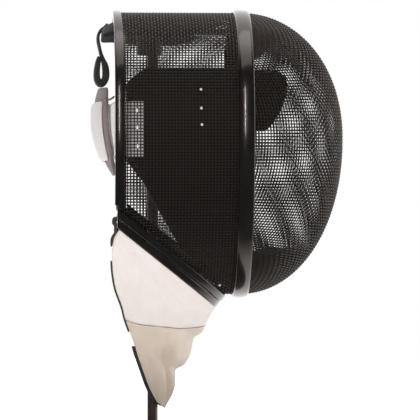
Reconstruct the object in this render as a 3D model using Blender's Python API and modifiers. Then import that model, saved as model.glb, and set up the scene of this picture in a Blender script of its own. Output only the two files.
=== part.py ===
"""A fencing mask on a plain post stand.

Metres, +Z up. The face looks along +X and the wearer's right side is at -Y. The origin is the
middle of the stand's underside. Every other file of the part follows the sizes named here.
"""

import math

import bmesh
import bpy
from mathutils import Vector

MM = 0.001

# Fits
FIT = 0.3 * MM  # between pieces that touch
EASE = 0.9 * MM  # between soft pieces that lie on each other

# Wire shell
EYE_HEIGHT = 296 * MM  # widest line of the mask, above the table
CROWN_RISE = 121.5 * MM  # crown above the widest line
CHIN_DROP = 148.5 * MM  # chin below the widest line
HALF_WIDTH = 109 * MM  # at the front ring
REAR_HALF_WIDTH = 105 * MM  # at the rear edge
RING_AHEAD = 83 * MM  # front ring ahead of the post
SIDE_DEPTH = 119.5 * MM  # front ring to the rear edge
FACE_DEPTH = 99.5 * MM  # front ring to the foremost point
JAW_SLOPE = math.radians(38.4)  # jaw edge, falling forward
JAW_BEHIND_RING = 6.5 * MM  # jaw edge to the front ring, at the chin
MESH_WALL = 2 * MM  # two wires, one over the other
CROWN_POWER = 2.3  # 2 is an ellipse, more is squarer
JAW_POWER = 2.0
FACE_POWER = 2.08
CROWN_STEPS = 30
JAW_STEPS = 22
FACE_STEPS = 8

# Trims
RING_WIDTH = 14.8 * MM
RING_BULGE = 3.4 * MM
RING_WEB = 3 * MM
RING_DEPTH = 3 * MM  # web inside the mesh's outer face
CHANNEL_WIDTH = 8.6 * MM  # rear channel, outer leg
CHANNEL_INNER = 10.4 * MM  # rear channel, inner leg
CHANNEL_BACK = 1.7 * MM
CHANNEL_LEG = 1.7 * MM
JAW_TRIM_HEIGHT = 7.6 * MM
JAW_TRIM_OUT = 1.8 * MM
JAW_TRIM_WALL = 5 * MM
BIB_TRIM_HEIGHT = 6.8 * MM
BIB_TRIM_OUT = 1.2 * MM
BIB_TRIM_WALL = 4.4 * MM

# Throat cloth
BIB_LENGTH = 121 * MM  # from the jaw plane to the tip
CLOTH_WALL = 1.5 * MM
CLOTH_INSET = 1 * MM
FOLD_HEIGHT = 3 * MM
SEAM_DROP = 29 * MM  # seam under the chin, at the front
CLOTH_STEPS = 12  # from the front to one rear edge
BIB_ROWS = 6
SKIRT_ROWS = 10
EDGING_WIDTH = 2.4 * MM
EDGING_WALL = 2.6 * MM
HEM_WIDTH = 3.4 * MM
TAB_DROP = 9.5 * MM  # its head under the jaw corner
TAB_LENGTH = 27 * MM
TAB_WIDTH = 4.5 * MM
TAB_WALL = 7 * MM

# Pads
PAD_WALL = 8 * MM
CROWN_PAD_BEHIND = 11.5 * MM  # overhang behind the rear edge
CROWN_PAD_LENGTH = 112 * MM
CROWN_PAD_HALF = 68 * MM
CROWN_PAD_WALL = 11.5 * MM
CROWN_PAD_DROP = 12.6 * MM  # overhang's top under the rest of the pad
CHEEK_PAD_RISE = 65.5 * MM  # top edge above the widest line
CHIN_PAD_DROP = 105 * MM  # top edge under the widest line
FOREHEAD_PAD_DEPTH = 37 * MM  # ahead of the ring
FOREHEAD_PAD_RISE = 95 * MM  # its two ends above the widest line
TEMPLE_PAD_RISE = 58 * MM  # top edge above the widest line
TEMPLE_PAD_HEIGHT = 53 * MM

# Back of the head
CUP_TOP = 49 * MM  # above the widest line
CUP_BOTTOM = 35 * MM  # below the widest line
CUP_HALF_WIDTH = 60 * MM
CUP_BEHIND = 19.3 * MM  # rearmost felt, behind the rear edge
CUP_WALL = 5 * MM
CUP_TURN = math.radians(75)
BACK_PAD_WALL = 3 * MM
BACK_PAD_TURN = math.radians(62)
BACK_PAD_TOP = 37 * MM
BACK_PAD_BOTTOM = 20.5 * MM
BAND_WIDTH = 50 * MM
BAND_TOP = 31.5 * MM  # above the widest line
BAND_WALL = 1.5 * MM
BAND_REACH = 26 * MM  # inside the mesh, ahead of the rear edge
STRAP_WIDTH = 25 * MM
STRAP_WALL = 4.6 * MM  # folded double, in the loop
TIE_WIDTH = 2 * MM

# Stand
BASE_WIDTH = 230 * MM
BASE_WALL = 6 * MM
BASE_EDGE = 2 * MM
POST_WIDTH = 10 * MM
REST_LENGTH = 84 * MM
REST_AHEAD = 34 * MM  # middle of the rest, ahead of the post
REST_WIDTH = 40 * MM
REST_WALL = 5 * MM
COLLAR_WIDTH = 23 * MM  # block between the post and the rest
COLLAR_HEIGHT = 19 * MM
COLLAR_BEHIND = 3.4 * MM  # its middle behind the post

# Crown pad from front to rear. along: share of its length. drop: share of its drop, half: share
# of its half width, wall: share of its wall
CROWN_PAD_ROWS = (
    {"along": 0.00, "drop": 0.00, "half": 0.66, "wall": 0.60},
    {"along": 0.14, "drop": 0.00, "half": 0.80, "wall": 0.80},
    {"along": 0.27, "drop": 0.00, "half": 0.98, "wall": 0.96},
    {"along": 0.64, "drop": 0.00, "half": 1.00, "wall": 1.00},
    {"along": 0.80, "drop": 0.28, "half": 0.92, "wall": 1.00},
    {"along": 0.90, "drop": 0.80, "half": 0.78, "wall": 0.92},
    {"along": 1.00, "drop": 1.26, "half": 0.64, "wall": 0.66},
)

# Cheek pad's rear edge. down: share of the height from its top edge to the chin, behind: share
# of the side's depth
CHEEK_PAD_ROWS = (
    {"down": 0.00, "behind": 0.775},
    {"down": 0.07, "behind": 0.930},
    {"down": 0.11, "behind": 0.935},
    {"down": 0.16, "behind": 0.887},
    {"down": 0.38, "behind": 0.887},
    {"down": 0.41, "behind": 0.880},
    {"down": 0.54, "behind": 0.765},
    {"down": 0.62, "behind": 0.685},
    {"down": 0.78, "behind": 0.514},
    {"down": 0.85, "behind": 0.445},
    {"down": 0.95, "behind": 0.260},
)

# Temple pad's front edge, in the front mesh. down: share of its height from its top edge,
# ahead: share of the face's depth, from the ring
TEMPLE_PAD_ROWS = (
    {"down": 0.00, "ahead": 0.44},
    {"down": 0.10, "ahead": 0.46},
    {"down": 0.37, "ahead": 0.41},
    {"down": 0.65, "ahead": 0.33},
    {"down": 0.85, "ahead": 0.25},
    {"down": 1.00, "ahead": 0.17},
)

# Throat cloth under the jaw plane. down: share of its length. front and rear: places along
# the jaw edge's length, 0 at the chin and 1 at the jaw corner. half: share of the jaw's half
# width
CLOTH_ROWS = (
    {"down": 0.00, "front": 0.000, "rear": 0.930, "half": 1.00},
    {"down": 0.12, "front": -0.004, "rear": 0.893, "half": 0.99},
    {"down": 0.27, "front": -0.021, "rear": 0.838, "half": 0.93},
    {"down": 0.34, "front": -0.039, "rear": 0.798, "half": 0.87},
    {"down": 0.42, "front": -0.022, "rear": 0.732, "half": 0.80},
    {"down": 0.50, "front": -0.056, "rear": 0.648, "half": 0.73},
    {"down": 0.58, "front": -0.081, "rear": 0.532, "half": 0.64},
    {"down": 0.64, "front": -0.084, "rear": 0.460, "half": 0.56},
    {"down": 0.71, "front": -0.060, "rear": 0.377, "half": 0.48},
    {"down": 0.75, "front": -0.087, "rear": 0.333, "half": 0.43},
    {"down": 0.80, "front": -0.122, "rear": 0.268, "half": 0.36},
    {"down": 0.88, "front": -0.151, "rear": 0.134, "half": 0.25},
    {"down": 0.95, "front": -0.161, "rear": 0.007, "half": 0.165},
    {"down": 1.00, "front": -0.167, "rear": -0.097, "half": 0.09},
)

# Seam between the cloth's two parts. side: from the front to a rear edge, drop: share of its drop
SEAM_ROWS = (
    {"side": 0.00, "drop": 1.00},
    {"side": 0.30, "drop": 1.07},
    {"side": 0.60, "drop": 0.98},
    {"side": 0.85, "drop": 0.90},
    {"side": 1.00, "drop": 0.77},
)

# Folds of the throat cloth: a ridge or a furrow along a line from one end to the other. side
# is 0 at the front and 1 at a rear edge, down is a share of the length, out of a fold's height
CLOTH_FOLDS = (
    {"side": 0.52, "down": 0.52, "to_side": 0.30, "to_down": 0.90, "wide": 0.10, "out": 1.00},
    {"side": 0.62, "down": 0.55, "to_side": 0.48, "to_down": 0.92, "wide": 0.08, "out": -0.83},
    {"side": 0.30, "down": 0.25, "to_side": 0.22, "to_down": 0.50, "wide": 0.08, "out": -0.53},
    {"side": 0.75, "down": 0.30, "to_side": 0.72, "to_down": 0.62, "wide": 0.08, "out": -0.40},
)

# Corner tab from its head down the cloth's rear edge. down, width and wall: shares of the
# tab's length, width and wall
TAB_ROWS = (
    {"down": 0.00, "width": 0.70, "wall": 0.80},
    {"down": 0.06, "width": 1.00, "wall": 1.00},
    {"down": 0.22, "width": 1.00, "wall": 1.00},
    {"down": 0.32, "width": 0.60, "wall": 0.60},
    {"down": 0.45, "width": 0.66, "wall": 0.50},
    {"down": 0.70, "width": 0.70, "wall": 0.44},
    {"down": 1.00, "width": 0.40, "wall": 0.36},
)

# Felt cup from top to bottom. down: share of its height. behind: share of the distance from
# the rear edge to the rearmost felt, at the middle and at the wing's edge. half: share
CUP_ROWS = (
    {"down": 0.00, "middle": 0.86, "edge": 0.48, "half": 0.42},
    {"down": 0.07, "middle": 0.92, "edge": 0.50, "half": 0.72},
    {"down": 0.15, "middle": 0.98, "edge": 0.50, "half": 0.88},
    {"down": 0.37, "middle": 1.00, "edge": 0.50, "half": 1.00},
    {"down": 0.50, "middle": 0.95, "edge": 0.47, "half": 1.00},
    {"down": 0.64, "middle": 0.80, "edge": 0.40, "half": 0.98},
    {"down": 0.80, "middle": 0.54, "edge": 0.28, "half": 0.90},
    {"down": 0.90, "middle": 0.33, "edge": 0.18, "half": 0.72},
    {"down": 1.00, "middle": 0.06, "edge": 0.04, "half": 0.46},
)

# Middle line of the top strap, from the crown pad over its rear end and round the loop.
# behind: share of the cup's distance behind the rear edge, down: share of the height from the
# crown to the cup's top, wall: share of the folded wall
STRAP_ROWS = (
    {"behind": 0.17, "down": 0.151, "wall": 0.55},
    {"behind": 0.50, "down": 0.190, "wall": 0.55},
    {"behind": 0.74, "down": 0.275, "wall": 0.55},
    {"behind": 0.80, "down": 0.365, "wall": 0.55},
    {"behind": 0.79, "down": 0.455, "wall": 0.56},
    {"behind": 0.71, "down": 0.545, "wall": 0.62},
    {"behind": 0.59, "down": 0.640, "wall": 0.80},
    {"behind": 0.48, "down": 0.730, "wall": 0.96},
    {"behind": 0.43, "down": 0.820, "wall": 1.00},
    {"behind": 0.47, "down": 0.900, "wall": 1.00},
    {"behind": 0.62, "down": 0.955, "wall": 1.00},
    {"behind": 0.77, "down": 0.935, "wall": 1.00},
    {"behind": 0.85, "down": 0.865, "wall": 1.00},
    {"behind": 0.84, "down": 0.780, "wall": 0.96},
    {"behind": 0.80, "down": 0.705, "wall": 0.80},
)
STRAP_STEPS = 2  # between two rows

# Worked out from the sizes above
RING_X = RING_AHEAD
REAR_X = RING_X - SIDE_DEPTH
CROWN_Z = EYE_HEIGHT + CROWN_RISE
CHIN_Z = EYE_HEIGHT - CHIN_DROP
JAW_X = RING_X - RING_WIDTH / 2 - JAW_BEHIND_RING  # jaw edge at the chin
CORNER_Z = CHIN_Z + (JAW_X - REAR_X) * math.tan(JAW_SLOPE)
JAW_LENGTH = (JAW_X - REAR_X) / math.cos(JAW_SLOPE)
ALONG_JAW = Vector((-math.cos(JAW_SLOPE), 0, math.sin(JAW_SLOPE)))
UNDER_JAW = Vector((-math.sin(JAW_SLOPE), 0, -math.cos(JAW_SLOPE)))
JAW_FOOT = Vector((JAW_X, 0, CHIN_Z))
CUP_TOP_Z = EYE_HEIGHT + CUP_TOP
BAND_INSET = MESH_WALL + EASE
PAD_INSET = BAND_INSET + BAND_WALL + EASE
HEAD_MIDDLE = Vector((RING_X / 2, 0, EYE_HEIGHT))
THROAT_MIDDLE = JAW_FOOT + ALONG_JAW * JAW_LENGTH / 2 + UNDER_JAW * BIB_LENGTH / 3


# Materials

FINISHES = {
    "black_wire": {"colour": (0.016, 0.014, 0.014), "rough": 0.42, "metal": 0.0},
    "gloss_trim": {"colour": (0.012, 0.011, 0.011), "rough": 0.22, "metal": 0.0},
    "white_cloth": {"colour": (0.84, 0.76, 0.71), "rough": 0.85, "metal": 0.0},
    "conductive_cloth": {"colour": (0.60, 0.50, 0.41), "rough": 0.7, "metal": 0.0},
    "black_edging": {"colour": (0.02, 0.018, 0.017), "rough": 0.8, "metal": 0.0},
    "black_padding": {"colour": (0.018, 0.016, 0.016), "rough": 0.9, "metal": 0.0},
    "grey_felt": {"colour": (0.25, 0.21, 0.205), "rough": 0.95, "metal": 0.0},
    "white_band": {"colour": (0.75, 0.70, 0.69), "rough": 0.8, "metal": 0.0},
    "stand_metal": {"colour": (0.035, 0.026, 0.022), "rough": 0.35, "metal": 0.6},
}


def finish(name):
    """The material of this name, made once."""
    found = bpy.data.materials.get(name)
    if found:
        return found
    material = bpy.data.materials.new(name)
    material.use_nodes = True
    shader = material.node_tree.nodes["Principled BSDF"]
    look = FINISHES[name]
    shader.inputs["Base Color"].default_value = (*look["colour"], 1)
    shader.inputs["Roughness"].default_value = look["rough"]
    shader.inputs["Metallic"].default_value = look["metal"]
    return material


# Small tools for shapes

def clear_scene():
    for thing in list(bpy.data.objects):
        bpy.data.objects.remove(thing, do_unlink=True)


def place(thing, collection, material):
    """Puts an object in the part's collection with its material and smooth shading."""
    collection.objects.link(thing)
    thing.data.materials.append(finish(material))
    thing.data.shade_smooth()
    thing.data.set_sharp_from_angle(angle=math.radians(40))
    return thing


def mesh_of(name, points, faces):
    mesh = bpy.data.meshes.new(name)
    mesh.from_pydata([tuple(point) for point in points], [], faces)
    mesh.validate()
    return bpy.data.objects.new(name, mesh)


def grid_of(name, rows, joined=False, pole=None):
    """An open surface through rows of points. joined closes each row, pole closes the last."""
    across = len(rows[0])
    points = [point for row in rows for point in row]
    steps = across if joined else across - 1
    faces = []
    for i in range(len(rows) - 1):
        for j in range(steps):
            k = (j + 1) % across
            faces.append((i * across + j, i * across + k,
                          (i + 1) * across + k, (i + 1) * across + j))
    if pole is not None:
        last = (len(rows) - 1) * across
        points.append(pole)
        for j in range(steps):
            faces.append((last + j, last + (j + 1) % across, len(points) - 1))
    return mesh_of(name, points, faces)


def thicken(thing, wall, core, inward=True):
    """Gives an open surface its wall, towards the point it goes round or away from it."""
    edit = bmesh.new()
    edit.from_mesh(thing.data)
    facing = sum(
        face.normal.dot(face.calc_center_median() - core) * face.calc_area()
        for face in edit.faces
    )
    if facing < 0:
        bmesh.ops.reverse_faces(edit, faces=edit.faces)
    edit.to_mesh(thing.data)
    edit.free()
    solid = thing.modifiers.new("Wall", "SOLIDIFY")
    solid.thickness = wall
    solid.offset = -1 if inward else 1
    solid.use_even_offset = True
    solid.use_quality_normals = True
    return thing


def loft_of(name, sections, joined=False):
    """A solid through closed sections of equally many points, with flat ends."""
    across = len(sections[0])
    points = [point for section in sections for point in section]
    faces = []
    steps = len(sections) if joined else len(sections) - 1
    for i in range(steps):
        n = (i + 1) % len(sections)
        for j in range(across):
            k = (j + 1) % across
            faces.append((i * across + j, i * across + k, n * across + k, n * across + j))
    if not joined:
        faces.append(tuple(reversed(range(across))))
        faces.append(tuple(range((len(sections) - 1) * across, len(sections) * across)))
    thing = mesh_of(name, points, faces)
    edit = bmesh.new()
    edit.from_mesh(thing.data)
    bmesh.ops.recalc_face_normals(edit, faces=edit.faces)
    edit.to_mesh(thing.data)
    edit.free()
    return thing


def read(rows, key, column, at):
    """A column of a table at this key, on a smooth curve through the rows."""
    keys = [row[key] for row in rows]
    values = [row[column] for row in rows]
    if at <= keys[0]:
        return values[0]
    if at >= keys[-1]:
        return values[-1]
    i = max(n for n in range(len(keys) - 1) if keys[n] <= at)

    def slope(n):
        low, high = max(n - 1, 0), min(n + 1, len(keys) - 1)
        return (values[high] - values[low]) / (keys[high] - keys[low])

    span = keys[i + 1] - keys[i]
    t = (at - keys[i]) / span
    return (
        (2 * t ** 3 - 3 * t ** 2 + 1) * values[i]
        + (t ** 3 - 2 * t ** 2 + t) * span * slope(i)
        + (-2 * t ** 3 + 3 * t ** 2) * values[i + 1]
        + (t ** 3 - t ** 2) * span * slope(i + 1)
    )


def shares(count):
    return [n / count for n in range(count + 1)]


def power_of(value, power):
    return math.copysign(abs(value) ** (2 / power), value)


# Form of the wire shell

def section_point(turn, x, inset=0.0):
    """Side shell at this turn from the crown, towards +Y, and this far inside its face."""
    ahead = (x - REAR_X) / SIDE_DEPTH
    half = REAR_HALF_WIDTH + (HALF_WIDTH - REAR_HALF_WIDTH) * ahead
    power = CROWN_POWER if math.cos(turn) > 0 else JAW_POWER
    height = CROWN_RISE if math.cos(turn) > 0 else CHIN_DROP
    point = Vector((
        x,
        half * power_of(math.sin(turn), power),
        EYE_HEIGHT + height * power_of(math.cos(turn), power),
    ))
    return point - outward(turn, x) * inset if inset else point


def outward(turn, x):
    """Unit normal of the side shell, without its small taper."""
    step = 1e-4
    along = section_point(turn + step, x) - section_point(turn - step, x)
    return Vector((0, -along.z, along.y)).normalized()


def face_point(turn, lift, inset=0.0):
    """Front shell. lift is 0 at the ring and a quarter turn at the foremost point."""
    out = power_of(math.cos(lift), FACE_POWER)
    rim = section_point(turn, RING_X)
    point = Vector((
        RING_X + FACE_DEPTH * power_of(math.sin(lift), FACE_POWER),
        rim.y * out,
        EYE_HEIGHT + (rim.z - EYE_HEIGHT) * out,
    ))
    if not inset:
        return point
    step = 1e-4
    around = face_point(turn + step, lift) - face_point(turn - step, lift)
    along = face_point(turn, lift + step) - face_point(turn, lift - step)
    return point + around.cross(along).normalized() * inset


def face_side(x, z, inset, side):
    """The point of the front shell above the widest line, at this place and height."""
    forward = (x - RING_X) / (FACE_DEPTH - inset)
    out = (1 - forward ** FACE_POWER) ** (CROWN_POWER / FACE_POWER)
    up = (z - EYE_HEIGHT) / (CROWN_RISE - inset)
    y = (HALF_WIDTH - inset) * (out - up ** CROWN_POWER) ** (1 / CROWN_POWER)
    return Vector((x, y * side, z))


def turn_at_height(z, inset=0.0):
    """Turn from the crown at which the side shell, this far inside its face, is this high."""
    low, high = 0.0, math.pi
    for _ in range(40):
        middle = (low + high) / 2
        low, high = (
            (middle, high) if section_point(middle, REAR_X, inset).z > z else (low, middle)
        )
    return (low + high) / 2


CORNER_TURN = turn_at_height(CORNER_Z)


def crown_turns():
    """From the right jaw corner over the crown to the left one."""
    return [CORNER_TURN * (2 * share - 1) for share in shares(CROWN_STEPS)]


def jaw_turns():
    """From the left jaw corner under the chin to the right one."""
    rest = 2 * math.pi - 2 * CORNER_TURN
    return [CORNER_TURN + rest * share for share in shares(JAW_STEPS)]


def all_turns():
    return crown_turns()[:-1] + jaw_turns()[:-1]


def jaw_x_at(z):
    """Where the jaw edge is at this height."""
    return JAW_X - (z - CHIN_Z) / math.tan(JAW_SLOPE)


def rear_x_of(turn):
    """Where the side shell ends behind: the rear edge, or the jaw edge under the corners."""
    z = section_point(turn, REAR_X).z
    return REAR_X if z >= CORNER_Z - 1e-9 else jaw_x_at(z)


# Wire shell

def front_mesh(collection):
    start = math.asin(
        ((RING_WEB / 2 + 3 * FIT) / FACE_DEPTH) ** (FACE_POWER / 2)
    )
    rows = []
    for share in shares(FACE_STEPS)[:-1]:
        lift = start + (math.pi / 2 - start) * (1 - (1 - share) ** 1.15)
        rows.append([face_point(turn, lift) for turn in all_turns()])
    thing = grid_of("front_mesh", rows, joined=True, pole=face_point(0, math.pi / 2))
    thicken(place(thing, collection, "black_wire"), MESH_WALL, HEAD_MIDDLE)


def side_mesh(collection):
    start = RING_X - RING_WEB / 2 - FIT
    rows = []
    for share in shares(3):
        row = []
        for turn in all_turns():
            x = rear_x_of(turn) + (start - rear_x_of(turn)) * share
            row.append(section_point(turn, x))
        rows.append(row)
    thing = grid_of("side_mesh", rows, joined=True)
    thicken(place(thing, collection, "black_wire"), MESH_WALL, HEAD_MIDDLE)


# Trims

def front_trim(collection):
    half, web = RING_WIDTH / 2, RING_WEB / 2
    profile = (
        (-half, FIT), (-half, 0.45 * RING_BULGE), (-0.67 * half, 0.88 * RING_BULGE),
        (0, RING_BULGE), (0.67 * half, 0.88 * RING_BULGE), (half, 0.45 * RING_BULGE),
        (half, FIT), (web, FIT), (web, -RING_DEPTH), (-web, -RING_DEPTH), (-web, FIT),
    )
    sections = []
    for turn in all_turns():
        middle, normal = section_point(turn, RING_X), outward(turn, RING_X)
        sections.append([middle + Vector((x, 0, 0)) + normal * out for x, out in profile])
    place(loft_of("front_trim", sections, joined=True), collection, "gloss_trim")


def rear_trim(collection):
    back = -CHANNEL_BACK - FIT
    top, under = FIT + CHANNEL_LEG, -MESH_WALL - FIT
    front, inner, soft = back + CHANNEL_WIDTH, back + CHANNEL_INNER, 0.8 * MM
    profile = (
        (back, under - CHANNEL_LEG + soft), (back, top - soft), (back + soft, top),
        (front - soft, top), (front, top - soft), (front, FIT), (-FIT, FIT), (-FIT, under),
        (inner, under), (inner, under - CHANNEL_LEG), (back + soft, under - CHANNEL_LEG),
    )
    sections = []
    last = turn_at_height(CORNER_Z + JAW_TRIM_HEIGHT / 2)
    for turn in [-last] + crown_turns()[1:-1] + [last]:
        middle, normal = section_point(turn, REAR_X), outward(turn, REAR_X)
        sections.append([middle + Vector((x, 0, 0)) + normal * out for x, out in profile])
    for side in (-1, 1):
        cut = []
        for x, out in profile:
            height = CHIN_Z + (JAW_X - REAR_X - x) * math.tan(JAW_SLOPE) + 2 * FIT
            turn = turn_at_height(height) * side
            point = section_point(turn, REAR_X) + outward(turn, REAR_X) * out
            point.z = height
            cut.append(point + Vector((x, 0, 0)))
        sections.insert(0 if side < 0 else len(sections), cut)
    place(loft_of("rear_trim", sections), collection, "gloss_trim")


def jaw_path(behind):
    """Points of the jaw edge between its two ends at this distance behind or ahead, left to
    right, with outward normals in the jaw plane."""
    height = CHIN_Z + (JAW_X - behind) * math.tan(JAW_SLOPE)
    end = section_point(turn_at_height(height), behind)
    points = [end]
    for turn in jaw_turns():
        z = section_point(turn, REAR_X).z
        point = section_point(turn, jaw_x_at(z))
        if point.x > behind + JAW_TRIM_HEIGHT * 0.7:
            points.append(point)
    points.append(Vector((end.x, -end.y, end.z)))
    normals = []
    for i in range(len(points)):
        along = points[min(i + 1, len(points) - 1)] - points[max(i - 1, 0)]
        normals.append(along.cross(UNDER_JAW).normalized())
    if normals[len(normals) // 2].x < 0:
        normals = [-normal for normal in normals]
    return points, normals


def band_along_jaw(name, top, height, out, wall, collection):
    """A band of this height, its top this far under the jaw plane, round the jaw edge. Its
    ends are cut upright, flush with the rear channel."""
    soft = 0.8 * MM
    profile = (
        (out - wall, top), (out - soft, top), (out, top + soft),
        (out, top + height - soft), (out - soft, top + height), (out - wall, top + height),
    )
    back = REAR_X - CHANNEL_BACK - FIT
    points, normals = jaw_path(back + math.sin(JAW_SLOPE) * (top + height / 2))
    sections = [
        [point + normal * across + UNDER_JAW * down for across, down in profile]
        for point, normal in zip(points, normals)
    ]
    for end, before in ((0, 1), (-1, -2)):
        run = (points[end] - points[before]).normalized()
        sections[end] = [
            point + run * ((back - point.x) / run.x) for point in sections[end]
        ]
    place(loft_of(name, sections), collection, "gloss_trim")


def jaw_trim(collection):
    band_along_jaw("jaw_trim", FIT, JAW_TRIM_HEIGHT, JAW_TRIM_OUT, JAW_TRIM_WALL, collection)


def bib_trim(collection):
    band_along_jaw(
        "bib_trim", JAW_TRIM_HEIGHT + 2 * FIT, BIB_TRIM_HEIGHT, BIB_TRIM_OUT,
        BIB_TRIM_WALL, collection,
    )


CLOTH_TOP = JAW_TRIM_HEIGHT + BIB_TRIM_HEIGHT + 3 * FIT


# Throat cloth

def cloth_point(side, down, out=0.0):
    """Throat cloth. side is 0 at the front and -1 or 1 at a rear edge, down is the distance
    under the jaw plane."""
    share = down / BIB_LENGTH
    front = read(CLOTH_ROWS, "down", "front", share) * JAW_LENGTH
    rear = read(CLOTH_ROWS, "down", "rear", share) * JAW_LENGTH
    deep = (CORNER_Z - CHIN_Z) / CHIN_DROP
    half = section_point(CORNER_TURN, REAR_X).y - CLOTH_INSET
    half *= read(CLOTH_ROWS, "down", "half", share)
    back = abs(side) ** 1.6
    across = math.sqrt((2 * deep * back - (deep * back) ** 2) / (2 * deep - deep ** 2))
    swell = sum(fold_height(fold, abs(side), share) for fold in CLOTH_FOLDS)
    reach = 1 + (out + swell) / max(half, 20 * MM)
    along = front + (rear - front) * back - (out + swell) * (1 - across) ** 0.5
    return (
        JAW_FOOT + ALONG_JAW * along + UNDER_JAW * down
        + Vector((0, math.copysign(half * across * reach, side) if side else 0.0, 0))
    )


def fold_height(fold, side, share):
    """How far one fold lifts the cloth here."""
    run = (fold["to_side"] - fold["side"], fold["to_down"] - fold["down"])
    offset = (side - fold["side"], share - fold["down"])
    long = run[0] ** 2 + run[1] ** 2
    t = (offset[0] * run[0] + offset[1] * run[1]) / long
    away = (offset[0] * run[1] - offset[1] * run[0]) / math.sqrt(long)
    fade = math.exp(-max(0.0, -t, t - 1) ** 2 / 0.02) * min(1.0, max(0.0, 1.0 - abs(2 * t - 1) ** 6))
    return FOLD_HEIGHT * fold["out"] * math.exp(-(away / fold["wide"]) ** 2) * fade


def cloth_sides():
    """From the right rear edge round the front to the left one."""
    return [2 * share - 1 for share in shares(2 * CLOTH_STEPS)]


def seam_at(side):
    """The seam between the cloth's two parts, as a distance under the jaw plane."""
    height = CHIN_Z - SEAM_DROP * read(SEAM_ROWS, "side", "drop", abs(side))
    low, high = CLOTH_TOP, BIB_LENGTH
    for _ in range(30):
        middle = (low + high) / 2
        low, high = (middle, high) if cloth_point(side, middle).z > height else (low, middle)
    return (low + high) / 2


def bib(collection):
    rows = []
    for share in shares(BIB_ROWS):
        rows.append([
            cloth_point(side, CLOTH_TOP + (seam_at(side) - CLOTH_TOP) * share)
            for side in cloth_sides()
        ])
    thing = grid_of("bib", rows)
    thicken(place(thing, collection, "white_cloth"), CLOTH_WALL, THROAT_MIDDLE)


def bib_skirt(collection):
    rows = []
    for share in shares(SKIRT_ROWS):
        rows.append([
            cloth_point(side, seam_at(side) + EASE + (BIB_LENGTH - seam_at(side) - EASE) * share)
            for side in cloth_sides()
        ])
    thing = grid_of("bib_skirt", rows)
    thicken(place(thing, collection, "conductive_cloth"), CLOTH_WALL, THROAT_MIDDLE)


def edge_frame(side, down):
    """A point of a rear edge, the way on behind it and the way out."""
    here = cloth_point(side, down)
    behind = (here - cloth_point(side * 0.97, down)).normalized()
    step = 1 * MM
    low = cloth_point(side, min(down + step, BIB_LENGTH))
    along = (low - cloth_point(side, down - step)).normalized()
    behind = (behind - along * behind.dot(along)).normalized()
    out = along.cross(behind).normalized()
    if out.y * side < 0:
        out = -out
    return here, behind, out


def edge_strip(name, side, places, widths, wall, material, collection):
    """A strip along a rear edge, behind the cloth, at these places with these widths."""
    sections = []
    for down, width in zip(places, widths):
        here, behind, out = edge_frame(side, down)
        middle = here - out * CLOTH_WALL / 2
        near, far = behind * FIT, behind * (FIT + width)
        sections.append([
            middle + near + out * wall / 2, middle + far * 0.8 + out * wall / 2,
            middle + far, middle + far * 0.8 - out * wall / 2,
            middle + near - out * wall / 2,
        ])
    place(loft_of(name, sections), collection, material)


def places_of(first, last, rows, start, end):
    """The cloth's rows between two places, so that a strip along its edge turns where it does."""
    cuts = [first + (last - first) * share for share in shares(rows)]
    return [start] + [cut for cut in cuts if start + 2 * MM < cut < end - 2 * MM] + [end]


def bib_edgings(collection):
    last = seam_at(1)
    places = places_of(CLOTH_TOP, last, BIB_ROWS, 0.30 * BIB_LENGTH, last - EASE)
    widths = [EDGING_WIDTH] * len(places)
    for side, name in ((-1, "bib_edging_right"), (1, "bib_edging_left")):
        edge_strip(name, side, places, widths, EDGING_WALL, "black_edging", collection)


def skirt_edgings(collection):
    first = seam_at(1) + EASE
    places = places_of(first, BIB_LENGTH, SKIRT_ROWS, 0.76 * BIB_LENGTH, 0.995 * BIB_LENGTH)
    widths = [HEM_WIDTH] * len(places)
    for side, name in ((-1, "skirt_edging_right"), (1, "skirt_edging_left")):
        edge_strip(name, side, places, widths, EDGING_WALL, "black_edging", collection)


def cloth_edge_at(side, z):
    """The cloth's rear edge at this height, as a distance under the jaw plane."""
    low, high = CLOTH_TOP, BIB_LENGTH
    for _ in range(40):
        middle = (low + high) / 2
        low, high = (middle, high) if cloth_point(side, middle).z > z else (low, middle)
    return (low + high) / 2


def corner_tabs(collection):
    """The tabs that hold the cloth's corners to the ends of the jaw trims."""
    back = REAR_X - CHANNEL_BACK - 2 * FIT
    path, _ = jaw_path(back)
    trims_low = CORNER_Z - CLOTH_TOP / math.cos(JAW_SLOPE) - 2 * MM
    for side, name in ((-1, "corner_tab_right"), (1, "corner_tab_left")):
        end = path[-1] if side < 0 else path[0]
        sections = []
        for row in TAB_ROWS:
            z = CORNER_Z - TAB_DROP - TAB_LENGTH * row["down"]
            width, wall = row["width"] * TAB_WIDTH, row["wall"] * TAB_WALL / 2
            edge = cloth_point(side, cloth_edge_at(side, z))
            near = Vector((edge.x - FIT, edge.y, z))
            if z > trims_low:
                near = Vector((back, edge.y + (end.y - edge.y) * 0.3, z))
            out, behind = Vector((0, wall * side, 0)), Vector((-width, 0, 0))
            sections.append([
                near + out, near + behind * 0.75 + out, near + behind,
                near + behind * 0.75 - out, near - out,
            ])
        place(loft_of(name, sections), collection, "black_edging")


# Pads

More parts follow.
